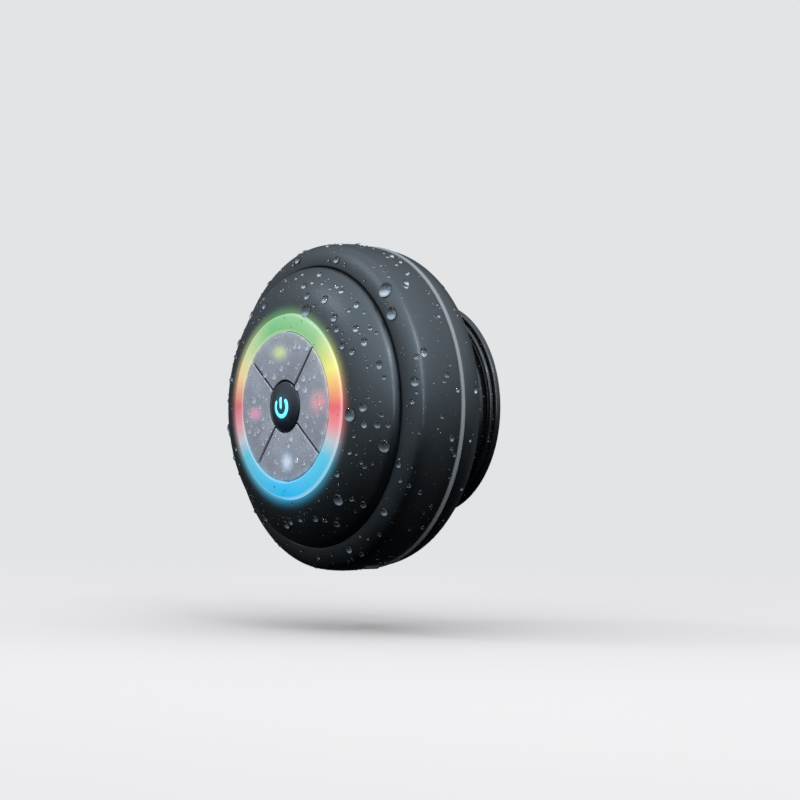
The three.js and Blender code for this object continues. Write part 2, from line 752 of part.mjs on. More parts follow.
speaker.add(
  part('main_board', mainBoard(), BOARD),
  part('bluetooth_module', bluetoothModule(), CHIP),
  part('battery', battery(), FOIL),
  part('charge_board', chargeBoard(), BOARD),
  part('usb_socket', usbSocket(), STEEL),
  part('microphone', microphone(), STEEL),
  part('usb_cover', usbCover(), RUBBER),
  part('battery_cable', batteryCable(), CABLE),
  part('speaker_cable', speakerCable(), CABLE),
  part('charge_cable', chargeCable(), CABLE),
);
BOARD_SCREW.angles.forEach((angle, i) => {
  speaker.add(part(`board_screw_${i + 1}`, boardScrew(angle), STEEL));
});
for (let i = 0; i < LED_COUNT; i++) {
  speaker.add(part(`led_${i + 1}`, led(30 + (i * 360) / LED_COUNT), WHITE));
}

speaker.add(
  part('driver_baffle', driverBaffle(), CHIP),
  part('driver_gasket', driverGasket(), FOAM),
  part('grille_cloth', grilleCloth(), FOAM),
  part('driver_basket', driverBasket(), STEEL),
  part('driver_top_plate', driverTopPlate(), STEEL),
  part('driver_magnet', driverMagnet(), FERRITE),
  part('driver_yoke', driverYoke(), STEEL),
  part('driver_cone', driverCone(), PAPER),
  part('driver_dust_cap', dustCap(), PAPER),
  part('driver_surround', driverSurround(), RUBBER),
  part('driver_spider', driverSpider(), PAPER),
  part('voice_coil', voiceCoil(), COPPER),
);

export default speaker;
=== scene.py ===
"""The looks of the shower speaker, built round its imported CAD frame.

Lengths are in millimetres unless a name ends in _m. The wall is the plane y = 0 and the speaker stands out
from it towards -Y, so a "depth" is a distance from the wall, depth = -y, and a "radius" is a distance from
the speaker's round axis. Angles are in degrees, anticlockwise as seen from the front.
"""

import json
import random
from math import asin, atan2, copysign, cos, degrees, dist, hypot, pi, radians, sin

import bmesh
import bpy
from mathutils import Matrix, Vector, noise

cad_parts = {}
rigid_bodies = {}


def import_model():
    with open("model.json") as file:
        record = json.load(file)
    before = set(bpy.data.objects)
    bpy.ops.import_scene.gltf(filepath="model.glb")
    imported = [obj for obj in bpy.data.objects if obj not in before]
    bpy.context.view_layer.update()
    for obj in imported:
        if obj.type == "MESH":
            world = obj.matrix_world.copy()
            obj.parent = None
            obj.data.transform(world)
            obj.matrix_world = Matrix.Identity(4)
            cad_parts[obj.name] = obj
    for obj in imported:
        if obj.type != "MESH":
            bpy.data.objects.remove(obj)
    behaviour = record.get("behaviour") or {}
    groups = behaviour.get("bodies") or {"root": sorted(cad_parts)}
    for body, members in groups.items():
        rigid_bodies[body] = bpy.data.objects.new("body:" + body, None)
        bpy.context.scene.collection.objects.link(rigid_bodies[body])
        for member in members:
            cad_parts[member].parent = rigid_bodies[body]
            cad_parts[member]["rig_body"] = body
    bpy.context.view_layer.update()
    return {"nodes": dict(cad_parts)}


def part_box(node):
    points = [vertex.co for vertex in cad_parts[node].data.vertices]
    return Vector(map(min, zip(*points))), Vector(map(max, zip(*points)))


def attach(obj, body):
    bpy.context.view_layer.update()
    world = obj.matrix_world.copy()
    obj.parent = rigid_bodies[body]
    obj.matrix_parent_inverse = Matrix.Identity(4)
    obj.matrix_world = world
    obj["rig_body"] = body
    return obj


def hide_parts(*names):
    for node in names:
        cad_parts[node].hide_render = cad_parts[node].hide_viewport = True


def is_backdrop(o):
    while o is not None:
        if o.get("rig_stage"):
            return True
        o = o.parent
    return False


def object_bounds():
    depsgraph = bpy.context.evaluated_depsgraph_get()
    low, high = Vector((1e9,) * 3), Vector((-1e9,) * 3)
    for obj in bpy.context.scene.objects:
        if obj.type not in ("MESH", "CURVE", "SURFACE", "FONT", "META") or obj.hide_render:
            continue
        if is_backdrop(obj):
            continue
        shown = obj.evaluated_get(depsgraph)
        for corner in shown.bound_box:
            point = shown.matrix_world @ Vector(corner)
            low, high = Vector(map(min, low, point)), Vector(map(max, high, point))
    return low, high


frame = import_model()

MM = 0.001
NODES = frame["nodes"]

# ---- places, read from the frame

class Span:
    """Where a CAD node lies: its least and greatest radius and depth, and its middle."""

    def __init__(self, node):
        points = [v.co / MM for v in NODES[node].data.vertices]
        radii = [hypot(p.x, p.z) for p in points]
        depths = [-p.y for p in points]
        self.inner, self.outer = min(radii), max(radii)
        self.back, self.front = min(depths), max(depths)
        low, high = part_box(node)
        middle = (low + high) / 2 / MM
        self.x, self.depth, self.z = middle.x, -middle.y, middle.z
        self.width = (high.x - low.x) / MM
        self.circle = hypot(middle.x, middle.z)


BAND = Span("main_shell")
DOME = Span("front_dome")
REAR = Span("rear_shell")
TRIM = Span("trim_ring")
GLOW = Span("light_ring")
KEY = Span("key_top")
BUTTON = Span("power_button")
CUP = Span("suction_cup")
PORT = Span("usb_cover")

# The speaker hangs a little turned from upright.
TOP_SWITCH = Span("switch_top")
HANG_ANGLE = degrees(atan2(-TOP_SWITCH.x, TOP_SWITCH.z))
KEY_ANGLES = {"top": 90, "right": 0, "bottom": 270, "left": 180}
LUG_ANGLES = (90, 210, 330)
LIGHT_INNER = KEY.outer - 0.65
LIGHT_OUTER = DOME.inner - 0.3
CASE_SCREWS = (Span("case_screw_1").circle, (45, 135, 225, 315))
BOARD_SCREWS = (Span("board_screw_1").circle, (30, 150, 270))

FINE = 192  # facets round a large piece
MEDIUM = 96
SMALL = 40
SHARP = radians(32)  # edges sharper than this stay sharp when shaded


# ---- outlines

def curve(start, pull, end, steps=10):
    """Points from start to end along a curve that leans towards pull, without end itself."""
    shares = [i / steps for i in range(steps)]
    weights = [((1 - t) ** 2, 2 * t * (1 - t), t * t) for t in shares]
    return [tuple(a * s + b * p + c * e for s, p, e in zip(start, pull, end)) for a, b, c in weights]


def trace(start, *moves):
    """An outline from start. A move is a corner, or a curve given as (pull, end) or (pull, end, steps)."""
    points = [start]
    for move in moves:
        if isinstance(move[0], tuple):
            pull, end, *steps = move
            points += curve(points[-1], pull, end, *steps)[1:]
            move = end
        points.append(move)
    return points


def rounded(corners, radius, steps=4):
    """A closed outline with its corners rounded off. A corner may have its own radius as a third value."""
    points = []
    places = [Vector(corner[:2]) for corner in corners]
    for corner, here, *ends in zip(corners, places, places[-1:] + places, places[1:] + places[:1]):
        size = corner[2] if len(corner) > 2 else radius
        if size <= 0 or here.x <= 0:
            points.append(tuple(here))
            continue
        ways = [end - here for end in ends]
        start, end = (here + way.normalized() * min(size, way.length * 0.45) for way in ways)
        points += curve(start, here, end, steps) + [tuple(end)]
    return points


def arc(radius, start, end, steps, centre=(0, 0)):
    turns = [radians(start + (end - start) * i / steps) for i in range(steps + 1)]
    return [(centre[0] + radius * cos(t), centre[1] + radius * sin(t)) for t in turns]


# ---- meshes

def to_object(bm, name="piece"):
    """An object in metres from a mesh in millimetres, smooth but for sharp edges."""
    bmesh.ops.remove_doubles(bm, verts=bm.verts, dist=1e-5)
    bmesh.ops.dissolve_degenerate(bm, edges=bm.edges, dist=1e-6)
    bmesh.ops.recalc_face_normals(bm, faces=bm.faces)
    bmesh.ops.scale(bm, vec=(MM, MM, MM), verts=bm.verts)
    mesh = bpy.data.meshes.new(name)
    bm.to_mesh(mesh)
    bm.free()
    shade(mesh)
    return place(name, mesh)


def place(name, data):
    made = bpy.data.objects.new(name, data)
    bpy.context.scene.collection.objects.link(made)
    return made


def shade(mesh):
    mesh.polygons.foreach_set("use_smooth", [True] * len(mesh.polygons))
    mesh.set_sharp_from_angle(angle=SHARP)


def skin(bm, rings):
    """Faces between neighbouring rings of corners. A ring that repeats one corner is a point."""
    for low, high in zip(rings, rings[1:]):
        for i in range(len(low)):
            j = (i + 1) % len(low)
            corners = list(dict.fromkeys([low[i], low[j], high[j], high[i]]))
            if len(corners) > 2:
                bm.faces.new(corners)


def lathe(points, facets=FINE):
    """A (radius, depth) outline turned about the axis. Off the axis it closes on itself."""
    bm = bmesh.new()
    turns = [2 * pi * i / facets for i in range(facets)]
    rings = []
    for radius, depth in points:
        if radius == 0:
            rings.append([bm.verts.new((0, -depth, 0))] * facets)
        else:
            rings.append([bm.verts.new((radius * cos(t), -depth, radius * sin(t))) for t in turns])
    if points[0][0] or points[-1][0]:
        rings.append(rings[0])
    skin(bm, rings)
    return to_object(bm)


def thicken(bm, offset=(0, 0, 0)):
    """Gives flat faces thickness, and returns the corners of the new side."""
    top = bmesh.ops.extrude_face_region(bm, geom=bm.faces[:])
    raised = [g for g in top["geom"] if isinstance(g, bmesh.types.BMVert)]
    bmesh.ops.translate(bm, vec=offset, verts=raised)
    return set(raised)


def slab(outline, back, front, bevel=0.0):
    """An (x, z) outline between two depths, with its front edges rounded."""
    bm = bmesh.new()
    bm.faces.new([bm.verts.new((x, -back, z)) for x, z in outline])
    raised = thicken(bm, (0, back - front, 0))
    if bevel:
        round_edges(bm, [e for e in bm.edges if all(v in raised for v in e.verts)], bevel)
    return to_object(bm)


def round_edges(bm, edges, size):
    bmesh.ops.bevel(bm, geom=edges, offset=size, segments=4, profile=0.5, affect="EDGES")


def brick(x, depth, z, bevel=0.0):
    """A block between (low, high) ranges of x, depth and z, with all its edges rounded."""
    bm = bmesh.new()
    bmesh.ops.create_cube(bm, size=1)
    bmesh.ops.scale(bm, vec=(x[1] - x[0], depth[1] - depth[0], z[1] - z[0]), verts=bm.verts)
    bmesh.ops.translate(bm, vec=(sum(x) / 2, -sum(depth) / 2, sum(z) / 2), verts=bm.verts)
    if bevel:
        round_edges(bm, bm.edges[:], bevel)
    return to_object(bm)


def rod(radius, back, front, centre=(0, 0), edge=0.0):
    corners = [(0, back), (radius, back, edge), (radius, front, edge), (0, front)]
    piece = lathe(rounded(corners, 0), SMALL)
    shift(piece, (centre[0], 0, centre[1]))
    return piece


def sector(inner, outer, back, front, angle, span):
    """The part of a ring within half a span of an angle."""
    steps = max(6, round(span / 3))
    outline = arc(outer, -span / 2, span / 2, steps) + arc(inner, span / 2, -span / 2, steps)
    piece = slab(outline, back, front)
    turn(piece, angle)
    return piece


def shift(piece, offset):
    piece.data.transform(Matrix.Translation(Vector(offset) * MM))


def turn(piece, angle=0):
    """Turns a piece about the speaker's axis, to an angle on the speaker as it hangs."""
    piece.data.transform(Matrix.Rotation(-radians(angle + HANG_ANGLE), 4, "Y"))


def copies(make, angles):
    """Like pieces as one mesh, one at each angle."""
    made = [make() for _ in angles]
    bm = bmesh.new()
    for piece, angle in zip(made, angles):
        turn(piece, angle)
        bm.from_mesh(piece.data)
    bm.to_mesh(made[0].data)
    bm.free()
    for piece in made[1:]:
        bpy.data.objects.remove(piece)
    return made[0]


def pins(radius, back, front, circle, angles):
    return copies(lambda: rod(radius, back, front, (circle, 0)), angles)


def cut(piece, *others, operation="DIFFERENCE"):
    """Cuts other meshes out of a piece, and uses them up."""
    for other in others:
        modifier = piece.modifiers.new("join", "BOOLEAN")
        modifier.operation = operation
        modifier.solver = "EXACT"
        modifier.object = other
    graph = bpy.context.evaluated_depsgraph_get()
    mesh = bpy.data.meshes.new_from_object(piece.evaluated_get(graph))
    piece.modifiers.clear()
    piece.data = mesh
    for other in others:
        bpy.data.objects.remove(other)
    shade(mesh)
    return piece


def join(piece, *others):
    return cut(piece, *others, operation="UNION")


def stand_for(node, piece, look):
    """The piece takes a CAD node's name, with _fine added, and its body, gets a look's material, and the node
    is hidden.
    """
    piece.name = node + "_fine"
    LOOKS[look].cover(piece)
    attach(piece, NODES[node]["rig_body"])
    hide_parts(node)


# ---- looks

def srgb(red, green, blue):
    """A colour given as it looks on screen, 0 to 255, as the linear values that nodes use."""
    shares = [value / 255 for value in (red, green, blue)]
    return (*(s / 12.92 if s <= 0.04045 else ((s + 0.055) / 1.055) ** 2.4 for s in shares), 1.0)


def darker(color, share):
    return (*(value * share for value in color[:3]), 1.0)


class Tree:
    """Shader nodes. An input is given as a value or as another node's output."""

    def __init__(self, tree):
        self.tree = tree

    def set(self, node, inputs):
        for key, value in inputs.items():
            if isinstance(value, bpy.types.NodeSocket):
                self.tree.links.new(value, node.inputs[key])
            else:
                node.inputs[key].default_value = value

    def node(self, kind, inputs=None, **settings):
        made = self.tree.nodes.new("ShaderNode" + kind)
        for key, value in settings.items():
            setattr(made, key, value)
        self.set(made, inputs or {})
        return made

    def vector(self, operation, first, second=None, **inputs):
        values = {0: first, **inputs}
        if second is not None:
            values[1] = second
        outputs = self.node("VectorMath", values, operation=operation).outputs
        return outputs["Value" if operation in ("LENGTH", "DOT_PRODUCT") else "Vector"]

    def split(self, vector):
        parts = self.node("SeparateXYZ", {"Vector": vector}).outputs
        return parts["X"], parts["Y"], parts["Z"]

    def vector_of(self, x=0.0, y=0.0, z=0.0):
        return self.node("CombineXYZ", {"X": x, "Y": y, "Z": z}).outputs["Vector"]

    def math(self, operation, first, second=0.0):
        return self.node("Math", {0: first, 1: second}, operation=operation).outputs["Value"]

    def times(self, first, second):
        return self.math("MULTIPLY", first, second)

    def wave(self, value, rate):
        return self.math("SINE", self.times(value, rate))

    def ramp(self, value, *stops):
        """A colour or a number by position. Each stop is (position, colour) or (position, number)."""
        made = self.node("ValToRGB", {"Fac": value})
        elements = made.color_ramp.elements
        while len(elements) < len(stops):
            elements.new(0.5)
        for element, (position, color) in zip(elements, stops):
            element.position = position
            element.color = color if isinstance(color, tuple) else (color, color, color, 1)
        return made.outputs["Color"]

    def spread(self, value, low, high, bottom=0.0):
        """Spreads values from bottom to 1 between low and high."""
        inputs = {"Value": value, "From Min": bottom, "To Min": low, "To Max": high}
        return self.node("MapRange", inputs).outputs["Result"]

    def fade(self, value, full, gone):
        """1 where value is full, 0 where it is gone, and smooth between."""
        inputs = {"Value": value, "From Min": full, "From Max": gone, "To Min": 1.0, "To Max": 0.0}
        return self.node("MapRange", inputs, interpolation_type="SMOOTHSTEP").outputs["Result"]

    def mix(self, share, first, second):
        return self.node("Mix", {0: share, 6: first, 7: second}, data_type="RGBA").outputs[2]


class Look(Tree):
    """A node material with a Principled shader and coordinates in millimetres."""

    def __init__(self, name, roughness=0.5, metallic=0.0, **inputs):
        self.material = bpy.data.materials.new(name)
        self.material.use_nodes = True
        super().__init__(self.material.node_tree)
        self.shader = self.tree.nodes["Principled BSDF"]
        self.surface(Roughness=roughness, Metallic=metallic, **inputs)
        place = self.node("TexCoord").outputs["Object"]
        self.place = self.vector("SCALE", place, Scale=1 / MM)
        self.normal = {}

    def cover(self, piece):
        piece.data.materials.clear()
        piece.data.materials.append(self.material)

    def surface(self, **inputs):
        """Sets the Principled shader's inputs. An underscore stands for a space."""
        self.set(self.shader, {key.replace("_", " "): value for key, value in inputs.items()})

    def noise(self, scale, detail=2.0, stretch=(1, 1, 1)):
        """Noise with features about 1 / scale millimetres wide."""
        inputs = {"Vector": self.vector("MULTIPLY", self.place, stretch), "Scale": scale, "Detail": detail}
        return self.node("TexNoise", inputs).outputs["Fac"]

    def bump(self, height, distance):
        """Adds relief to the surface, in millimetres from the lowest to the highest."""
        inputs = {"Height": height, "Distance": distance * MM, "Strength": 1.0, **self.normal}
        self.normal = {"Normal": self.node("Bump", inputs).outputs["Normal"]}
        self.surface(**self.normal)

    def paint(self, color):
        self.surface(Base_Color=color)

    def roughen(self, value, low, high):
        self.surface(Roughness=self.spread(value, low, high))

    def pattern(self, value, low, high, distance):
        """A pattern that shows between two colours and in relief."""
        self.paint(self.mix(value, low, high))
        self.bump(value, distance)

    def polar(self):
        """The radius from the axis, and the share of a turn round it from 3 o'clock, anticlockwise."""
        x, _, z = self.split(self.place)
        radius = self.vector("LENGTH", self.vector_of(x=x, z=z))
        angle = self.math("ARCTAN2", z, x)
        turns = self.math("FRACT", self.math("ADD", self.math("DIVIDE", angle, 2 * pi), 1.0))
        return radius, turns

    def emit(self, color, strength):
        self.surface(Emission_Color=color, Emission_Strength=strength)

    def veil(self, share, behind):
        """Shows this look by share, and another shader behind it for the rest."""
        blend = self.node("MixShader", {0: share, 1: behind, 2: self.shader.outputs["BSDF"]})
        self.set(self.tree.nodes["Material Output"], {"Surface": blend.outputs["Shader"]})


# The light ring's colours round the clock, by share of a turn from 3 o'clock, anticlockwise.
RING_COLORS = (
    (0.0, srgb(224, 92, 100)), (0.035, srgb(236, 170, 106)), (0.07, srgb(232, 224, 118)),
    (0.15, srgb(140, 190, 132)), (0.3, srgb(112, 184, 120)), (0.4, srgb(198, 208, 156)),
    (0.44, srgb(228, 200, 146)), (0.5, srgb(202, 98, 110)), (0.54, srgb(210, 150, 160)),
    (0.57, srgb(182, 188, 198)), (0.6, srgb(92, 184, 210)), (0.75, srgb(36, 178, 232)),
    (0.9, srgb(84, 190, 220)), (0.935, srgb(180, 190, 200)), (0.965, srgb(230, 138, 144)),
    (1.0, srgb(224, 92, 100)),
)


def ring_color(look):
    radius, turns = look.polar()
    return look.ramp(turns, *RING_COLORS), radius


def soft_touch(name, edge, glow=False):
    """Soft-touch coating: near black and faintly blue, fine grained, worn smooth near an edge radius. With
    glow, it has painted glow from the light ring beside it.
    """
    # The bluish specular tint is a painted tint on the reflections, standing in for the cool light around.
    look = Look(name, Specular_Tint=(0.84, 0.93, 1.0, 1.0))
    marks = look.noise(0.11, 4.0)
    grain = look.noise(7.0, 3.0)
    radius, _ = look.polar()
    away = look.math("ABSOLUTE", look.math("SUBTRACT", radius, edge))
    worn = look.times(look.fade(away, 0.1, 0.9), look.spread(look.noise(0.5, 3.0), 0.06, 0.22))
    rough = look.math("ADD", look.spread(marks, 0.36, 0.52), look.spread(grain, -0.03, 0.03))
    look.surface(Roughness=look.math("SUBTRACT", rough, worn))
    look.paint(look.mix(marks, srgb(5, 6, 7), srgb(9, 10, 11)))
    look.bump(grain, 0.012)
    look.bump(look.noise(1.1), 0.008)
    if glow:
        # Painted glow: next to the light ring the coating emits the ring's colours, as if the ring's light
        # spilled onto it.
        color, radius = ring_color(look)
        painted_ring_glow = look.fade(radius, LIGHT_OUTER - 0.4, LIGHT_OUTER + 4.5)
        look.emit(color, look.times(look.math("POWER", painted_ring_glow, 2.6), 0.6))
    return look


def moulded(name, color, roughness, grain=0.01, **inputs):
    """Moulded plastic or rubber: an even colour with fine grain and flow marks."""
    look = Look(name, **inputs)
    flow = look.noise(0.15, 3.0, (1, 1, 3))
    look.paint(look.mix(flow, darker(color, 0.72), color))
    look.roughen(flow, roughness * 0.8, roughness * 1.2)
    look.bump(look.noise(5.0), grain)
    return look


def cup_rubber():
    """Glossy rubber with mould flow rings and a little dust."""
    look = Look("cup_rubber", Specular_IOR_Level=0.3)
    radius, _ = look.polar()
    inputs = {"Scale": 0.9, "Distortion": 1.5, "Detail": 2.0, "Vector": look.place}
    flow = look.node("TexWave", inputs).outputs["Fac"]
    dust = look.noise(2.2, 5.0)
    dusty = look.ramp(dust, (0.5, 0.0), (0.8, 1.0))
    look.roughen(dust, 0.1, 0.26)
    look.paint(look.mix(dusty, srgb(9, 10, 12), srgb(24, 25, 28)))
    look.bump(flow, 0.004)
    look.bump(look.wave(radius, 9.0), 0.003)
    return look


def brushed(name, color, roughness, round_axis=True, metallic=1.0):
    """Metal with fine brushing round the axis, or along x."""
    look = Look(name, metallic=metallic)
    place = look.vector("MULTIPLY", look.place, (0.06, 1, 1))
    if round_axis:
        radius, turns = look.polar()
        _, y, _ = look.split(look.place)
        place = look.vector_of(radius, y, look.times(turns, 6.0))
    lines = look.node("TexNoise", {"Vector": place, "Scale": 9.0, "Detail": 4.0}).outputs["Fac"]
    look.roughen(lines, roughness * 0.6, roughness * 1.5)
    look.pattern(lines, darker(color, 0.7), color, 0.006)
    return look


def diffuser():
    """Milky plastic lit from behind, with painted highlights along its edges."""
    look = Look("diffuser", 0.35)
    color, radius = ring_color(look)
    # Painted highlights: the emitted colour turns paler along the ring's inner and outer edges.
    inner_edge = look.fade(radius, LIGHT_INNER, LIGHT_INNER + 0.7)
    outer_edge = look.fade(radius, LIGHT_OUTER, LIGHT_OUTER - 0.7)
    edges = look.math("ADD", inner_edge, outer_edge)
    edge_highlighted = look.mix(look.times(edges, 0.24), color, (1, 1, 1, 1))
    cloudy = look.spread(look.noise(0.6, 3.0), 0.92, 1.06)
    look.paint(look.mix(0.9, color, srgb(20, 20, 20)))
    look.emit(edge_highlighted, look.times(cloudy, 0.93))
    look.bump(look.noise(3.0), 0.01)
    return look


# The small light in each key: its colour, its angle, and its half width and half height.
KEY_LIGHTS = {
    "top": (srgb(204, 214, 50), 96, 6.0, 3.4),
    "right": (srgb(224, 70, 84), -2, 5.4, 4.4),
    "bottom": (srgb(206, 216, 232), 266, 4.4, 4.2),
    "left": (srgb(212, 66, 128), 181, 5.0, 2.9),
}


def smoke_key(side):
    """Smoked translucent plastic with a light glowing a little below its surface."""
    color, angle, half_width, half_height = KEY_LIGHTS[side]
    look = Look("smoke_" + side, Coat_Weight=0.4, Coat_Roughness=0.2)
    _, y, _ = look.split(look.place)
    fleck = look.noise(1.7, 4.0)
    speck = look.ramp(look.noise(2.6, 3.0), (0.56, 0.0), (0.7, 1.0))
    body = look.mix(look.noise(0.22, 4.0), srgb(96, 94, 103), srgb(134, 133, 140))
    flecked = look.mix(look.times(speck, 0.4), body, srgb(176, 177, 182))
    # Painted shade: the key's sides are near black, so the slits round it read as shadowed gaps.
    shaded_side_wall = look.fade(y, 0.7 - KEY.front, 0.15 - KEY.front)
    look.paint(look.mix(shaded_side_wall, flecked, srgb(16, 16, 18)))
    look.roughen(fleck, 0.28, 0.5)
    look.bump(fleck, 0.03)
    # The light lies below the surface, so it is looked up where the line of sight gets that deep.
    circle, depth, bearing = 14.4, 0.5, radians(angle + HANG_ANGLE)
    spot = (circle * cos(bearing), 0, circle * sin(bearing))
    toward = look.node("NewGeometry").outputs["Incoming"]
    _, lean, _ = look.split(toward)
    reach = look.math("DIVIDE", depth, look.math("MAXIMUM", look.math("ABSOLUTE", lean), 0.2))
    below = look.vector("SUBTRACT", look.place, look.vector("SCALE", toward, Scale=reach))
    offset = look.vector("SUBTRACT", below, spot)
    away = look.vector("LENGTH", look.vector("MULTIPLY", offset, (1 / half_width, 0, 1 / half_height)))
    ragged = look.times(away, look.spread(look.noise(0.9, 3.0), 0.7, 1.3))
    glow = look.math("POWER", look.fade(ragged, 0.1, 1.0), 1.3)
    # Painted reflection: near the light ring the key emits the ring's colours, as if reflecting its light.
    ring, radius = ring_color(look)
    rim = look.math("POWER", look.fade(radius, LIGHT_INNER, LIGHT_INNER - 3.0), 2.4)
    painted_ring_reflection = look.math("MAXIMUM", look.times(rim, look.spread(look.noise(0.45, 4.0), -0.25, 0.75)), 0.0)
    look.emit(look.mix(glow, ring, color), look.math("ADD", look.times(glow, 0.62), painted_ring_reflection))
    return look


def button_gloss():
    """Gloss black with a painted cyan glow round the lit sign."""
    look = Look("button_gloss", Base_Color=srgb(15, 20, 27), Specular_IOR_Level=0.3)
    radius, _ = look.polar()
    look.roughen(look.noise(1.2, 5.0), 0.08, 0.24)
    look.bump(look.noise(0.8), 0.008)
    # Painted glow: the button emits cyan around the sign, as if the sign's light spread onto it.
    painted_halo = look.math("POWER", look.fade(radius, 2.2, 5.6), 2.0)
    look.emit(srgb(60, 170, 205), look.times(painted_halo, 0.12))
    return look


def lit_sign():
    look = Look("lit_sign", 0.25, Base_Color=srgb(80, 190, 215), Coat_Weight=0.3)
    look.emit(srgb(98, 204, 230), look.spread(look.noise(1.5), 0.85, 1.1))
    look.bump(look.noise(4.0), 0.004)
    return look


def circuit_board():
    look = Look("circuit_board", 0.3, Coat_Weight=0.3)
    inputs = {"Vector": look.place, "Scale": 0.42, "Randomness": 0.35}
    cells = look.node("TexVoronoi", inputs, feature="DISTANCE_TO_EDGE", distance="CHEBYCHEV")
    track = look.ramp(cells.outputs["Distance"], (0.03, 1.0), (0.06, 0.0))
    holes = look.node("TexVoronoi", {"Vector": look.place, "Scale": 0.55}).outputs["Distance"]
    pad = look.ramp(holes, (0.16, 1.0), (0.2, 0.0))
    masked = look.mix(track, srgb(14, 74, 38), srgb(30, 112, 58))
    look.surface(Base_Color=look.mix(pad, masked, srgb(206, 176, 92)), Metallic=pad)
    look.bump(look.math("ADD", track, pad), 0.03)
    return look


def pouch_foil():
    """Creased foil with bands of yellow tape."""
    look = Look("pouch_foil", metallic=0.85)
    _, _, z = look.split(look.place)
    crease = look.noise(0.16, 6.0)
    tape = look.ramp(look.math("FRACT", look.times(z, 0.045)), (0.1, 1.0), (0.12, 0.0))
    look.paint(look.mix(tape, srgb(196, 198, 206), srgb(214, 172, 60)))
    look.roughen(crease, 0.2, 0.5)
    look.bump(crease, 0.35)
    return look


def woven(name, color, pitch=0.45):
    look = Look(name, 0.9)
    x, _, z = look.split(look.place)
    across, along = (look.math("ABSOLUTE", look.wave(way, 2 * pi / pitch)) for way in (x, z))
    weave = look.math("MAXIMUM", across, along)
    look.pattern(weave, darker(color, 0.35), color, 0.12)
    return look


def pulp():
    look = Look("cone_pulp", 0.85)
    fibre = look.noise(1.6, 6.0, (1, 1, 0.3))
    radius, _ = look.polar()
    look.pattern(fibre, srgb(26, 26, 29), srgb(54, 53, 56), 0.05)
    look.bump(look.wave(radius, 5.0), 0.05)
    return look


def winding():
    look = Look("winding", 0.3, 1.0)
    _, y, _ = look.split(look.place)
    turns = look.math("ABSOLUTE", look.wave(y, 18.0))
    look.pattern(turns, srgb(92, 44, 22), srgb(196, 116, 66), 0.06)
    return look


def ferrite():
    look = Look("ferrite", 0.62)
    sinter = look.noise(2.4, 6.0)
    look.pattern(sinter, srgb(40, 40, 43), srgb(74, 73, 75), 0.06)
    return look


LOOKS = {
    "band": soft_touch("soft_touch_band", BAND.outer - 0.8),
    "dome": soft_touch("soft_touch_dome", DOME.outer - 0.3, glow=True),
    "gloss_black": moulded("gloss_black", srgb(16, 17, 19), 0.18, 0.004, Coat_Weight=0.4),
    "cup_rubber": cup_rubber(),
    "flap_rubber": moulded("flap_rubber", srgb(34, 36, 39), 0.5, 0.015),
    "trim_metal": brushed("trim_metal", srgb(104, 104, 106), 0.6, metallic=0.1),
    "steel": brushed("plated_steel", srgb(168, 171, 176), 0.3, round_axis=False),
    "turned_steel": brushed("turned_steel", srgb(160, 163, 168), 0.3),
    "diffuser": diffuser(),
    "button": button_gloss(),
    "sign": lit_sign(),
    "silicone": moulded("silicone", srgb(196, 198, 200), 0.55, 0.01, Subsurface_Weight=0.2),
    "board": circuit_board(),
    "plastic": moulded("black_plastic", srgb(24, 24, 26), 0.5, 0.012),
    "led": moulded("led_white", srgb(230, 230, 224), 0.4),
    "wire": moulded("cable_red", srgb(176, 36, 42), 0.42, 0.006),
    "foil": pouch_foil(),
    "cloth": woven("cloth", srgb(46, 47, 50)),
    "foam": moulded("foam", srgb(42, 43, 46), 0.95, 0.12),
    "pulp": pulp(),
    "copper": winding(),
    "ferrite": ferrite(),
    **{"key_" + side: smoke_key(side) for side in KEY_ANGLES},
}

# ---- casing

# The band's outside: a crowned face up to a soft ridge, a shoulder and a crowned barrel.
RIDGE = (BAND.outer - 0.85, BAND.front - 2.55)
SHOULDER = (BAND.outer - 0.25, BAND.front - 4.15)
FACE_PULL = (RIDGE[0] - 1.5, RIDGE[1] + 2)
RIDGE_PULL = (RIDGE[0] + 0.45, RIDGE[1] - 0.6)
BARREL_RIM = BAND.outer - 0.55
CROWN_PULL = (BAND.outer + 0.5, 30)

# The dome's outer surface, from the light ring to its rolled edge.
DOME_PULL = (31.7, 47.1)
DOME_RIM = (DOME.outer - 0.75, 41.5)

# The rear bowl's side, from the seam to where it turns in.
REAR_PULL = (42.1, 17.2)
REAR_EDGE = (38, 15)

RIM_INNER = 38.8  # inside of the rims where the shells meet
COLLAR_BACK = 33.5  # back of the collar that the dome plugs into
SKIRT_BACK = 36.2  # back of the dome's skirt
SOCKET_FLOOR = 19.4


def build_band():
    """Lip, face, shoulder and barrel outside, and the collar round the dome and tabs inside."""
    lip, top, seam = DOME.outer + 0.14, BAND.front - 0.05, BAND.back
    inside, collar = 41, DOME.outer + 0.3
    piece = lathe(trace(
        (lip, top - 0.3), ((lip + 0.02, top), (lip + 0.45, top), 5), (FACE_PULL, RIDGE, 20),
        (RIDGE_PULL, SHOULDER, 14), (CROWN_PULL, (BARREL_RIM, seam + 0.25), 20),
        ((BARREL_RIM, seam), (BARREL_RIM - 0.25, seam), 3),
        (RIM_INNER, seam), (RIM_INNER, 25.6), (inside, 27), (inside, 34),
        ((inside - 0.4, 36), (collar + 1.7, SKIRT_BACK), 6),
        (collar + 1.6, COLLAR_BACK), (collar, COLLAR_BACK), (collar, top - 0.65),
    ))
    _, tab_angles = CASE_SCREWS
    join(piece, copies(lambda: brick((30.4, 37.9), (COLLAR_BACK, 35.3), (-3.4, 3.4)), tab_angles))
    cut(piece, pins(1.45, COLLAR_BACK - 0.5, 36, *CASE_SCREWS), *port_cutters())
    stand_for("main_shell", piece, "band")


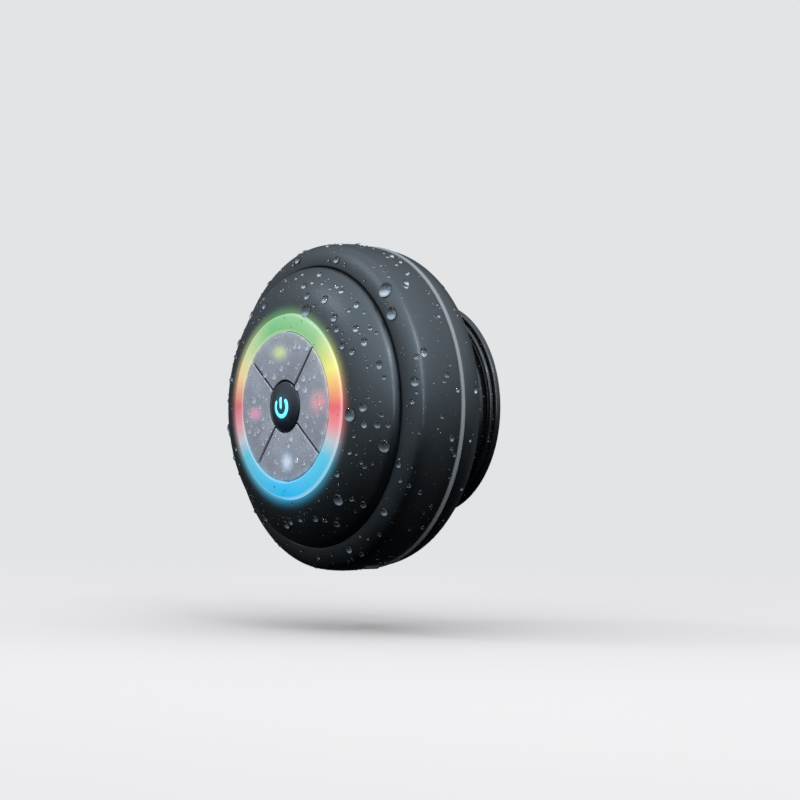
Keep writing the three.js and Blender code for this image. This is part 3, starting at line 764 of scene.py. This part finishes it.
def port_cutters():
    """Cut from the band: the flap's seat, the port behind it, and the sound hole."""
    depth = PORT.depth
    seat = curved_patch((-9.0, 7.4), (depth - 3.4, depth + 3.4), 41.75, lambda _: BAND.outer + 3, 0.5)
    opening = brick((-4.6, 4.8), (depth - 1.8, depth + 1.8), (-46, -38), 0.5)
    hole = rod(0.7, -3, 3)
    hole.data.transform(Matrix.Rotation(radians(90), 4, "X"))
    shift(hole, (10, -Span("microphone").depth, -41))
    for part in (opening, hole):
        turn(part)
    return seat, opening, hole


def curved_patch(x_range, depth_range, inner, outer_at, corner):
    """A rounded rectangle wrapped on the underside. Its outer radius goes by depth."""
    (low, high), (back, front) = x_range, depth_range
    bm = bmesh.new()
    outline = []
    for x, depth, start in ((high, front, 0), (low, front, 90), (low, back, 180), (high, back, 270)):
        centre = (x - copysign(corner, x), depth + (-corner if depth == front else corner))
        outline += arc(corner, start, start + 90, 6, centre)
    bm.faces.new([bm.verts.new((x, -depth, 0)) for x, depth in outline])
    for normal, first, last in (((1, 0, 0), low, high), ((0, 1, 0), -front, -back)):
        count = round((last - first) / 0.8)
        for i in range(1, count):
            point = Vector(normal) * (first + (last - first) * i / count)
            geometry = bm.verts[:] + bm.edges[:] + bm.faces[:]
            bmesh.ops.bisect_plane(bm, geom=geometry, plane_co=point, plane_no=normal, dist=1e-4)
    raised = thicken(bm)
    for vertex in bm.verts:
        x, y, _ = vertex.co
        reach = outer_at(-y) if vertex in raised else inner
        slant = asin(x / BAND.outer)
        vertex.co = (reach * sin(slant), y, -reach * cos(slant))
    piece = to_object(bm)
    turn(piece)
    return piece


def barrel_radius(depth):
    t = (SHOULDER[1] - depth) / (SHOULDER[1] - BAND.back)
    return (1 - t) ** 2 * SHOULDER[0] + 2 * t * (1 - t) * CROWN_PULL[0] + t * t * BARREL_RIM


def build_dome():
    """The raised front dome, and its skirt and bosses behind."""
    edge, inner, top = DOME.outer, DOME.inner, DOME.front
    piece = lathe(trace(
        (inner, top - 1.3), (inner, top - 0.3), ((inner, top), (inner + 0.3, top - 0.04), 4),
        (DOME_PULL, DOME_RIM, 28), ((edge - 0.05, 40.6), (edge, 39.4), 12),
        (edge, SKIRT_BACK), (edge - 1.3, SKIRT_BACK), (edge - 1.7, 40),
        ((31.2, 45), (inner + 1.6, 46.4), 10), (inner + 1.3, 46.9),
    ))
    join(piece, pins(2.5, DOME.back, 41, *CASE_SCREWS), pins(2.2, 42.7, 45.9, *BOARD_SCREWS))
    cut(piece, pins(1.35, DOME.back - 0.6, 40.2, *CASE_SCREWS), pins(1.05, 42, 45.4, *BOARD_SCREWS))
    stand_for("front_dome", piece, "dome")


def build_rear():
    """The rear bowl with bayonet socket, grille slots and screw recesses."""
    back, seam = REAR.back, TRIM.back - 0.1
    inside, socket, rim = back + 2, 9.4, 42.4
    rib_inner, rib_outer, rib_front = 27.9, 29.3, 19.3
    piece = lathe(trace(
        (0, SOCKET_FLOOR + 1.6), (socket + 1.8, SOCKET_FLOOR + 1.6), (socket + 1.8, inside),
        (rib_inner, inside), (rib_inner, rib_front), (rib_outer, rib_front), (rib_outer, inside),
        ((RIM_INNER - 0.1, inside), (RIM_INNER, seam - 2), 8), (RIM_INNER, seam), (rim - 0.3, seam),
        ((rim, seam), (rim, seam - 0.3), 3), (REAR_PULL, REAR_EDGE, 16), ((35.8, back), (32, back), 8),
        (socket + 0.4, back), ((socket, back), (socket, back + 0.4), 4),
        (socket, SOCKET_FLOOR), (0, SOCKET_FLOOR),
    ))
    join(piece, pins(3.3, inside - 1, REAR.front, *CASE_SCREWS))
    _, screw_angles = CASE_SCREWS
    cut(piece, copies(slot_cutter, [i * 360 / 16 for i in range(16)]), copies(screw_recess, screw_angles))
    for angle in LUG_ANGLES:
        join(piece, sector(7.4, socket + 0.5, back, back + 2.3, angle, 50))
    for angle in LUG_ANGLES:
        join(piece, sector(7.4, socket + 0.5, back + 1.8, SOCKET_FLOOR + 0.1, angle + 30, 16))
    stand_for("rear_shell", piece, "band")


def slot_cutter():
    outline = arc(0.9, -90, 90, 8, (25.5, 0)) + arc(0.9, 90, 270, 8, (21.5, 0))
    return slab(outline, 10, 16.5)


def screw_recess():
    """A hole for a case screw, wide for its head and narrow for its shank."""
    circle, _ = CASE_SCREWS
    piece = lathe([(0, 10), (2.4, 10), (2.4, 25.4), (1.45, 25.4), (1.45, 40), (0, 40)], SMALL)
    shift(piece, (circle, 0, 0))
    return piece


def build_trim():
    corners = [(TRIM.inner, TRIM.back), (TRIM.outer, TRIM.back, 0.5), (TRIM.outer, TRIM.front, 0.5),
               (TRIM.inner, TRIM.front)]
    stand_for("trim_ring", lathe(rounded(corners, 0.1, 6)), "trim_metal")


# ---- light ring, keys and button

def build_light_ring():
    """A crowned ring, and its flange and ledge behind."""
    inner, outer = LIGHT_INNER, LIGHT_OUTER
    high, low = 49.05, 48.4  # the face at its inner and outer edges
    piece = lathe(trace(
        (inner, 47.4), (inner, high - 0.25), ((inner, high), (inner + 0.3, high + 0.03), 5),
        ((22, high + 0.25), (outer - 0.3, low + 0.1), 12), ((outer, low), (outer, low - 0.3), 5),
        (outer, 46.6), (25.3, 46.5), (25.3, 45.5), (outer, GLOW.back), (GLOW.inner, GLOW.back),
        (GLOW.inner, 44.9), (20.6, 44.9), (20.6, 47.3),
    ))
    stand_for("light_ring", piece, "diffuser")


def key_outline(inner, outer):
    """A quarter of a ring about 3 o'clock, drawn back by half a slit from each neighbour."""
    half_slit = 0.32
    outline = []
    for radius, way in ((outer, 1), (inner, -1)):
        reach = way * (45 - degrees(asin(half_slit / radius)))
        outline += arc(radius, -reach, reach, 36)
    return outline


def build_key(side):
    """A key, a flange behind it and a nub over its switch."""
    face = slab(key_outline(KEY.inner, LIGHT_INNER - 0.25), 47.05, KEY.front, 0.22)
    flange = slab(key_outline(17, KEY.outer), 46.5, 47.15)
    nub = rod(1.6, KEY.back + 0.25, 47.2, (13, 0))
    join(face, flange, nub)
    turn(face, KEY_ANGLES[side])
    stand_for("key_" + side, face, "key_" + side)


def button_face(radius):
    return BUTTON.front - 1.35 * (radius / 6.6) ** 2


def build_button():
    """The domed button, a flange behind and openings for the lit sign."""
    rim, bore, bore_end, flange_front = 6.6, 3.4, 48.7, 46.6
    eased = rim - 0.45
    outline = trace(
        (0, bore_end), (bore, bore_end), (bore, BUTTON.back), (BUTTON.outer, BUTTON.back),
        (BUTTON.outer, flange_front), (rim, flange_front), (rim, button_face(rim) - 0.35),
        ((rim, button_face(rim)), (eased, button_face(eased)), 6),
    )
    outline += [(r / 20 * eased, button_face(r / 20 * eased)) for r in range(19, -1, -1)]
    piece = lathe(outline, MEDIUM)
    cut(piece, *sign_strokes(0.1, 0.6))
    stand_for("power_button", piece, "button")


def build_sign():
    disc = rod(3.3, Span("power_icon").back + 0.25, 48.6)
    stand_for("power_icon", join(disc, *sign_strokes()), "sign")


def sign_strokes(extra_width=0.0, proud=0.05):
    """The power sign's broken ring and its bar, standing proud of the button's dome."""
    radius, width, gap = 2.45, 1.05 + extra_width, 57
    ring_path = [Vector(p) for p in arc(radius, 90 - gap, gap - 270, 41, (0, -0.15))]
    bar_path = [Vector((0, -0.28 + 2.25 * i / 8)) for i in range(9)]
    strokes = [stroke(ring_path, width, proud), stroke(bar_path, width * 0.92, proud)]
    for part in strokes:
        turn(part)
    return strokes


def stroke(path, width, proud):
    """A round-ended line along an (x, z) path on the button's dome, reaching back inside it."""
    sides = []
    for i, point in enumerate(path):
        ahead = path[min(i + 1, len(path) - 1)] - path[max(i - 1, 0)]
        across = Vector((-ahead.y, ahead.x)).normalized() * width / 2
        sides.append((point + across, point - across))
    lefts, rights = zip(*sides)
    outline = [*lefts, *round_end(path[-1], lefts[-1]), *reversed(rights), *round_end(path[0], rights[0])]
    back, flat_front = 48.3, 50
    piece = slab(outline, back, flat_front, 0.16)
    for vertex in piece.data.vertices:
        x, y, z = vertex.co / MM
        if -y > 49:
            vertex.co.y -= (button_face(hypot(x, z)) + proud - flat_front) * MM
    return piece


def round_end(centre, first):
    """Points of a half circle about centre, between first and its opposite, without those two."""
    offset = first - centre
    start = degrees(atan2(offset.y, offset.x))
    return arc(offset.length, start, start - 180, 8, centre)[1:-1]


# ---- flap and suction cup

def build_flap():
    """A flap flush with the barrel, with a bead it turns on, a plug behind and a finger lip."""
    depth = PORT.depth
    shell = curved_patch((-7.6, 7.1), (depth - 3, depth + 3), 42, barrel_radius, 0.9)
    plug = brick((-4.1, 4.1), (depth - 1.4, depth + 1.4), (-42.2, -39.7), 0.35)
    lip = brick((5.3, 6.9), (depth - 2.2, depth + 2.2), (-43.2, -42), 0.35)
    bead = rod(0.5, depth - 3, depth + 3, (-7.7, -41.6), 0.15)
    for part in (plug, lip, bead):
        turn(part)
    stand_for("usb_cover", join(shell, plug, lip, bead), "flap_rubber")


# The bell of the cup, from the flange to the neck.
BELL = ((24.7, 1.7), (24.2, 7.6), (13.6, 9.3))


def build_cup():
    """The pressed cup: hollow and lip on the wall, then rolled rim, ridge, bell and neck."""
    rim = CUP.outer
    piece = lathe(trace(
        (0, 0), (4.2, 0), ((12, 2.2), (21, 0), 14), (rim - 0.15, 0),
        ((rim + 0.05, 0.8), (rim - 0.4, 1.35), 6), ((rim - 0.9, 1.75), (rim - 1.3, 1.0), 6),
        ((27.1, 2.7), (26.4, 2.3), 7), ((25.7, 2.0), (25.6, 1.1), 7), ((25, 0.9), BELL[0], 5),
        (*BELL[1:], 18), ((11.6, 9.6), (11.3, 10.6), 6), ((10.9, 12.4), (10.5, 12.9), 5),
        (5.65, 12.9), (5.65, 6.85), (8.05, 6.85), (8.05, 4.95), (0, 4.95),
    ))
    stand_for("suction_cup", piece, "cup_rubber")


def build_hub():
    corners = [(0, 5), (8, 5), (8, 6.8), (5.6, 6.8), (5.6, 13.3), (7, 13.3), (7, 18.8), (0, 18.8)]
    piece = lathe(rounded(corners, 0.2, 3), MEDIUM)
    join(piece, *(sector(6.5, 9.05, 16.4, 18.8, angle, 40) for angle in LUG_ANGLES))
    stand_for("cup_hub", piece, "gloss_black")


# ---- inside

def build_plain_rings():
    rings = {
        "housing_seal": (0.3, "silicone"),
        "keypad_membrane": (0.12, "flap_rubber"),
        "grille_cloth": (0.05, "cloth"),
        "driver_baffle": (0.2, "plastic"),
        "driver_gasket": (0.25, "foam"),
        "driver_top_plate": (0.12, "turned_steel"),
        "driver_magnet": (0.3, "ferrite"),
        "voice_coil": (0.05, "copper"),
    }
    for node, (edge, look) in rings.items():
        ring = Span(node)
        corners = [(ring.inner, ring.back), (ring.outer, ring.back),
                   (ring.outer, ring.front), (ring.inner, ring.front)]
        stand_for(node, lathe(rounded(corners, edge, 3), MEDIUM), look)


def build_turned_insides():
    cone = [(4.6, 24.7), (5.6, 24.7), (14.9, 22.8), (15.6, 22.8), (15.6, 23.1), (15, 23.2), (5.6, 25.1),
            (4.6, 25.1)]
    basket = [(20.8, 22.4), (20.8, 23.3), (19.2, 23.5), (15, 28.9), (12, 29.9), (6, 29.9), (6, 29.1),
              (11.8, 29.1), (14.3, 28.3), (18.3, 22.9), (18.5, 22.4)]
    yoke = [(0, 36.5), (12, 36.5), (12, 35), (4.5, 35), (4.5, 30), (0, 30)]
    surround = trace((15.7, 22.5), ((16.8, 20.4), (18.1, 22.5)), (17.8, 22.7), ((16.8, 20.9), (16, 22.8)))
    dust_cap = trace((0, 22.9), ((4, 23), (5.4, 24.4)), (4.9, 24.6), ((3.6, 23.5), (0, 23.3)))
    spider = [(5.3 + 8.9 * i / 40, 27.6 + 0.3 * sin(i * pi / 5)) for i in range(41)]
    spider += [(r, d + 0.3) for r, d in reversed(spider)]
    outlines = {
        "driver_yoke": (rounded(yoke, 0.2), "turned_steel"),
        "driver_basket": (rounded(basket, 0.15, 3), "turned_steel"),
        "driver_cone": (rounded(cone, 0.1, 3), "pulp"),
        "driver_dust_cap": (dust_cap, "pulp"),
        "driver_surround": (surround, "flap_rubber"),
        "driver_spider": (spider, "cloth"),
    }
    for node, (outline, look) in outlines.items():
        stand_for(node, lathe(outline, MEDIUM), look)


def build_screw(node, head, shank, thick):
    """A pan-head screw, from the radii of its head and shank and the head's thickness."""
    screw = Span(node)
    seat = screw.back + thick
    outline = trace((0, screw.back), ((head, screw.back), (head, seat - 0.3), 8), (head, seat), (shank, seat))
    for number in range(int((screw.front - seat - 1) / 0.5)):
        start = seat + number * 0.5
        outline += [(shank * 0.86, start + 0.15), (shank, start + 0.4)]
    outline += [(shank * 0.6, screw.front - 0.3), (0, screw.front)]
    piece = lathe(outline, SMALL)
    arm = head * 0.55
    for angle in (0, 90):
        blade = brick((-arm, arm), (screw.back - 1, screw.back + thick * 0.6), (-0.25, 0.25))
        turn(blade, angle - HANG_ANGLE)
        cut(piece, blade)
    shift(piece, (screw.x, 0, screw.z))
    stand_for(node, piece, "steel")


def build_plunger(side):
    pin = Span("plunger_" + side)
    piece = rod(pin.width / 2, pin.back, pin.front, (pin.x, pin.z), 0.2)
    stand_for("plunger_" + side, piece, "plastic")


def finish_cad_nodes():
    """Pieces whose CAD shape is right keep it, with eased edges."""
    looks = {"main_board": "board", "charge_board": "board", "bluetooth_module": "plastic", "battery": "foil",
             "usb_socket": "steel", "microphone": "steel"}
    looks.update({cable + "_cable": "wire" for cable in ("battery", "speaker", "charge")})
    looks.update({"switch_" + side: "steel" for side in (*KEY_ANGLES, "power")})
    looks.update({f"led_{i}": "led" for i in range(1, 7)})
    for node, look in looks.items():
        piece = NODES[node]
        LOOKS[look].cover(piece)
        if look != "wire":
            bevel = piece.modifiers.new("eased edges", "BEVEL")
            bevel.width = 0.15 * MM
            bevel.segments = 2
            bevel.limit_method = "ANGLE"


# ---- drops of water

DROP_LAYERS = ("fall", "lift")  # how far down a drop a place is, and how high above the surface


def water(name, shaded_top, mid_tone, lit_bottom):
    """A clear bead: see-through in its middle, with painted shade at its top and painted light below, where a
    real drop gathers light.
    """
    look = Look(name, 0.03, IOR=1.33)
    fall, lift = (look.node("Attribute", attribute_name=layer).outputs["Fac"] for layer in DROP_LAYERS)
    # Painted light and shade: the colour runs from dark on the drop's upper side to bright on its lower side.
    look.paint(look.ramp(fall, (0.3, srgb(*shaded_top)), (0.62, srgb(*mid_tone)), (0.9, srgb(*lit_bottom))))
    clear = look.node("BsdfTransparent", {"Color": (0.92, 0.94, 0.96, 1)}).outputs["BSDF"]
    edge_on = look.node("LayerWeight", {"Blend": 0.6}).outputs["Facing"]
    solid = look.ramp(lift, (0.0, 0.95), (0.45, 0.75), (1.0, 0.35))
    look.veil(look.math("MAXIMUM", solid, edge_on), clear)
    return look


def add_drop(bm, centre, normal, size, chooser, sag):
    """A low dome with an uneven outline, drawn out downwards where it is heavy."""
    fall_layer, lift_layer = (bm.verts.layers.float[layer] for layer in DROP_LAYERS)
    down = normal * normal.z - Vector((0, 0, 1))
    if down.length < 0.05:
        down = Vector((1, 0, 0))
    down.normalize()
    side = normal.cross(down)
    rings, around = 5, 14
    height = size * chooser.uniform(0.42, 0.64)
    seed = Vector((chooser.uniform(0, 99), chooser.uniform(0, 99), 0))

    def corner(at, fall, lift):
        vertex = bm.verts.new(at)
        vertex[fall_layer], vertex[lift_layer] = fall, lift
        return vertex

    layers = []
    for k in range(rings):
        t = radians(90 * k / rings)
        layer = []
        for i in range(around):
            a = 2 * pi * i / around
            wobble = 1 + 0.22 * noise.noise(seed + Vector((cos(a), sin(a), 0)) * 0.8)
            reach = size * wobble * cos(t)
            along = reach * cos(a) * (1 + sag * (1 if cos(a) > 0 else 0.55))
            rise = height * sin(t) * (1 + 0.3 * sag * cos(a)) - 0.03
            at = centre + down * along + side * reach * sin(a) + normal * rise
            layer.append(corner(at, 0.5 + 0.5 * cos(a) * cos(t), sin(t)))
        layers.append(layer)
    crown = corner(centre + normal * height, 0.5, 1.0)
    skin(bm, [*layers, [crown] * around])
    bm.faces.new(layers[0][::-1])


def stretches(points):
    """The straight stretches of an outline as (start, end, length, share walked before, share after)."""
    lengths = [dist(a, b) for a, b in zip(points, points[1:])]
    walked = [sum(lengths[:i]) / sum(lengths) for i in range(len(points))]
    return list(zip(points, points[1:], lengths, walked, walked[1:]))


def surface_at(points, share):
    """The radius, depth and outward normal at a share of an outer outline's length."""
    for start, end, length, before, after in stretches(points):
        if share <= after:
            break
    t = (share - before) / (after - before)
    run, rise = end[0] - start[0], end[1] - start[1]
    return start[0] + run * t, start[1] + rise * t, (-rise / length, run / length)


def share_at(points, axis, value):
    """The share of an outline's length where its radius (axis 0) or depth (axis 1) has a value, or 0.5."""
    for start, end, _, before, after in stretches(points):
        if min(start[axis], end[axis]) <= value <= max(start[axis], end[axis]):
            return before + (after - before) * (value - start[axis]) / (end[axis] - start[axis])
    return 0.5


# Each water look gives the colours of its painted shade, middle tone and painted light.
WATER = water("water", (6, 7, 8), (80, 87, 93), (184, 192, 198))
KEY_WATER = water("water_on_keys", (126, 126, 132), (182, 184, 190), (250, 251, 253))


def scatter(name, points, count, sizes, seed, body="housing", angles=(0, 360), placed=(), axis=0, look=WATER):
    """Drops over a turned surface: the placed ones, then random ones that don't touch a large one.

    Many are small and few large. They ride on a body but are not part of the object. Placed ones are
    (radius, angle, size), or (depth, angle, size) with axis 1.
    """
    chooser = random.Random(seed)
    bm = bmesh.new()
    for layer in DROP_LAYERS:
        bm.verts.layers.float.new(layer)
    taken = []
    drops = [(share_at(points, axis, value), angle, size) for value, angle, size in placed]
    for _ in range(count):
        size = sizes[0] * (sizes[1] / sizes[0]) ** (chooser.random() ** 2.6)
        drops.append((chooser.random(), chooser.uniform(*angles), size))
    for share, angle, size in drops:
        radius, depth, (out, forward) = surface_at(points, share)
        t = radians(angle)
        normal = Vector((out * cos(t), -forward, out * sin(t))).normalized()
        centre = Vector((radius * cos(t), -depth, radius * sin(t)))
        if any((centre - other).length < (size + other_size) * 1.15 for other, other_size in taken):
            continue
        if size > 0.5:
            taken.append((centre, size))
        add_drop(bm, centre, normal, size, chooser, chooser.uniform(0, 0.5) if size > 0.7 else 0.0)
    piece = to_object(bm, "drops_" + name)
    look.cover(piece)
    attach(piece, body)
    piece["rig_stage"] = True


# The largest drops: radius on the front, or depth on the barrel, then angle and size.
DOME_DROPS = ((25.9, 73, 1.6), (26.8, -4, 1.6), (30.4, 0, 1.1), (35.2, -16, 1.4), (34.4, 18, 0.9),
              (35.6, -8, 0.8), (35.7, -50, 1.3), (30, -50, 1.0), (34, -62, 0.9), (29.2, 51, 1.0),
              (31.5, 84, 0.9), (29.6, 116, 0.9), (33, 132, 1.0), (31, -96, 1.0), (33.5, -118, 1.1),
              (29.5, 28, 0.8), (32.2, 38, 0.9))
BAND_DROPS = ((37.9, 47, 1.7), (39.7, 37, 1.4), (38.1, 9, 1.2), (39.6, -42, 1.1), (39.2, 78, 0.9),
              (40.3, 2, 0.7), (39.5, -68, 1.0), (40, 104, 1.0), (38.6, -22, 0.8))
BARREL_DROPS = ((35, 19, 1.1), (27, 33, 0.7), (29, 11, 0.8), (31, -3, 0.7), (26.6, -14, 0.6),
                (32, 48, 0.8), (28.2, 66, 0.8), (33.2, -30, 0.7), (29, 84, 0.9))


def wet_the_speaker():
    dome = curve((LIGHT_OUTER + 1, DOME.front), DOME_PULL, DOME_RIM, 20)
    band = curve((38.2, BAND.front), FACE_PULL, RIDGE, 8) + curve(RIDGE, RIDGE_PULL, SHOULDER, 10)
    barrel = [(barrel_radius(depth), depth) for depth in (35, 33, 30, 27, 25)]
    rear = curve((42.3, 22.3), REAR_PULL, REAR_EDGE, 12)[::-1]
    bell = curve((24.7, 1.9), *BELL[1:], 14)[::-1]
    flange = [(25.9, 2.0), (26.4, 2.3), (27.1, 1.9), (27.3, 1.05), (CUP.outer - 0.8, 1.5)]
    ring = [(LIGHT_INNER + 0.5, 49.1), (22, 49.05), (LIGHT_OUTER - 0.4, 48.55)]
    button = [(radius, button_face(radius)) for radius in (0.5, 2, 3.5, 5, 6)]
    keys = [(7.6, KEY.front), (LIGHT_INNER - 0.6, KEY.front)]
    scatter("dome", dome, 420, (0.14, 0.95), 3, placed=DOME_DROPS)
    scatter("band", band, 190, (0.14, 0.8), 5, placed=BAND_DROPS)
    scatter("barrel", barrel, 330, (0.14, 0.8), 7, placed=BARREL_DROPS, axis=1)
    scatter("rear", rear, 130, (0.14, 0.8), 9)
    scatter("bell", bell, 320, (0.14, 0.6), 11, "cup")
    scatter("flange", flange, 260, (0.12, 0.42), 12, "cup")
    scatter("ring", ring, 26, (0.12, 0.4), 13)
    scatter("button", button, 10, (0.1, 0.3), 15, "power_button")
    for number, side in enumerate(KEY_ANGLES):
        key, lean = "key_" + side, KEY_ANGLES[side] + HANG_ANGLE
        scatter(key, keys, 70, (0.2, 0.85), 17 + number, key, (lean - 41, lean + 41), look=KEY_WATER)


# ---- stage

BACKDROP = srgb(226, 228, 230)
LAMP_COLOR = (0.9, 0.96, 1.0)
# The light's strength by the height it comes from, -1 straight below to 1 straight above.
SKY = ((-1.0, 0.0), (-0.6, 0.02), (-0.3, 0.14), (0.0, 0.72), (0.45, 2.15), (1.0, 3.4))
SKY_TINT = (0.8, 0.91, 1.0)
# It is brighter to the right and in front: a base share, and what x and y add.
SKY_LEAN = (0.92, 0.75, -0.55)


def build_floor():
    """A pale floor below the speaker that fades into the backdrop."""
    low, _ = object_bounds()
    bm = bmesh.new()
    bmesh.ops.create_grid(bm, x_segments=1, y_segments=1, size=3000)
    floor = to_object(bm, "floor")
    floor.location.z = low[2] - 0.016
    look = Look("floor", 0.8)
    look.paint(look.mix(look.noise(0.004, 3.0), srgb(161, 151, 146), srgb(166, 156, 151)))
    x, y, _ = look.split(look.place)
    away = look.vector("LENGTH", look.vector_of(x, y))
    distant = look.node("Emission", {"Color": BACKDROP}).outputs["Emission"]
    look.veil(look.fade(away, 140.0, 520.0), distant)
    look.cover(floor)
    floor.visible_glossy = False
    floor.visible_transmission = False
    floor.visible_diffuse = False
    floor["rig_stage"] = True


def area_light(name, at_m, target_m, size_m, power):
    light = bpy.data.lights.new(name, "AREA")
    light.shape = "RECTANGLE"
    light.size, light.size_y = size_m
    light.energy = power
    light.color = LAMP_COLOR
    lamp = place(name, light)
    lamp.location = at_m
    lamp.rotation_euler = (Vector(target_m) - Vector(at_m)).to_track_quat("-Z", "Y").to_euler()


def light_the_stage():
    """A cool sky, brightest overhead, with small lamps that catch edges and drops."""
    area_light("sparkle_left", (-0.35, -0.55, 0.6), (0, -0.02, 0), (0.045, 0.045), 1.4)
    area_light("sparkle_right", (0.6, -0.1, 0.5), (0, -0.02, 0), (0.04, 0.04), 0.8)
    area_light("strip", (0.5, -0.2, 0.3), (0, -0.01, 0), (0.02, 0.8), 1.5)
    world = bpy.data.worlds.new("studio")
    world.use_nodes = True
    sky = Tree(world.node_tree)
    toward = sky.node("TexCoord").outputs["Generated"]
    _, _, height = sky.split(toward)
    stops = [((level + 1) / 2, (*(light * tint for tint in SKY_TINT), 1)) for level, light in SKY]
    glow = sky.ramp(sky.spread(height, 0.0, 1.0, bottom=-1.0), *stops)
    base, along_x, along_y = SKY_LEAN
    lean = sky.math("ADD", sky.vector("DOT_PRODUCT", toward, (along_x, along_y, 0)), base)
    lit = sky.vector("SCALE", glow, Scale=sky.math("MAXIMUM", lean, 0.1))
    seen = sky.node("LightPath").outputs["Is Camera Ray"]
    sky.set(sky.tree.nodes["Background"], {"Color": sky.mix(seen, lit, BACKDROP)})
    bpy.context.scene.world = world


def place_camera():
    """Well round to the speaker's right and level with it, through a long lens."""
    azimuth, elevation, roll = radians(52.54), radians(-0.45), radians(0.59)
    distance, aside, above = 708.5, 10.46, 2.10
    aim = Vector((0, -24.6, 0))
    camera = bpy.data.cameras.new("camera")
    camera.lens = 120.2
    camera.sensor_width = 36.0
    camera.clip_start = 0.01
    viewer = place("camera", camera)
    swing = Matrix.Rotation(azimuth, 4, "Z") @ Matrix.Rotation(pi / 2 - elevation, 4, "X")
    step = Matrix.Translation(Vector((aside, above, distance)) * MM)
    viewer.matrix_world = Matrix.Translation(aim * MM) @ swing @ step @ Matrix.Rotation(roll, 4, "Z")
    bpy.context.scene.camera = viewer


# ---- all of it

build_band()
build_dome()
build_rear()
build_trim()
build_light_ring()
for side in KEY_ANGLES:
    build_key(side)
build_button()
build_sign()
build_flap()
build_cup()
build_hub()
build_plain_rings()
build_turned_insides()
for number in range(1, 5):
    build_screw(f"case_screw_{number}", 2.1, 1.15, 1.3)
for number in range(1, 4):
    build_screw(f"board_screw_{number}", 1.7, 0.8, 1.1)
for side in (*KEY_ANGLES, "power"):
    build_plunger(side)
finish_cad_nodes()
wet_the_speaker()
build_floor()
light_the_stage()
place_camera()
bpy.context.scene.view_settings.view_transform = "Standard"
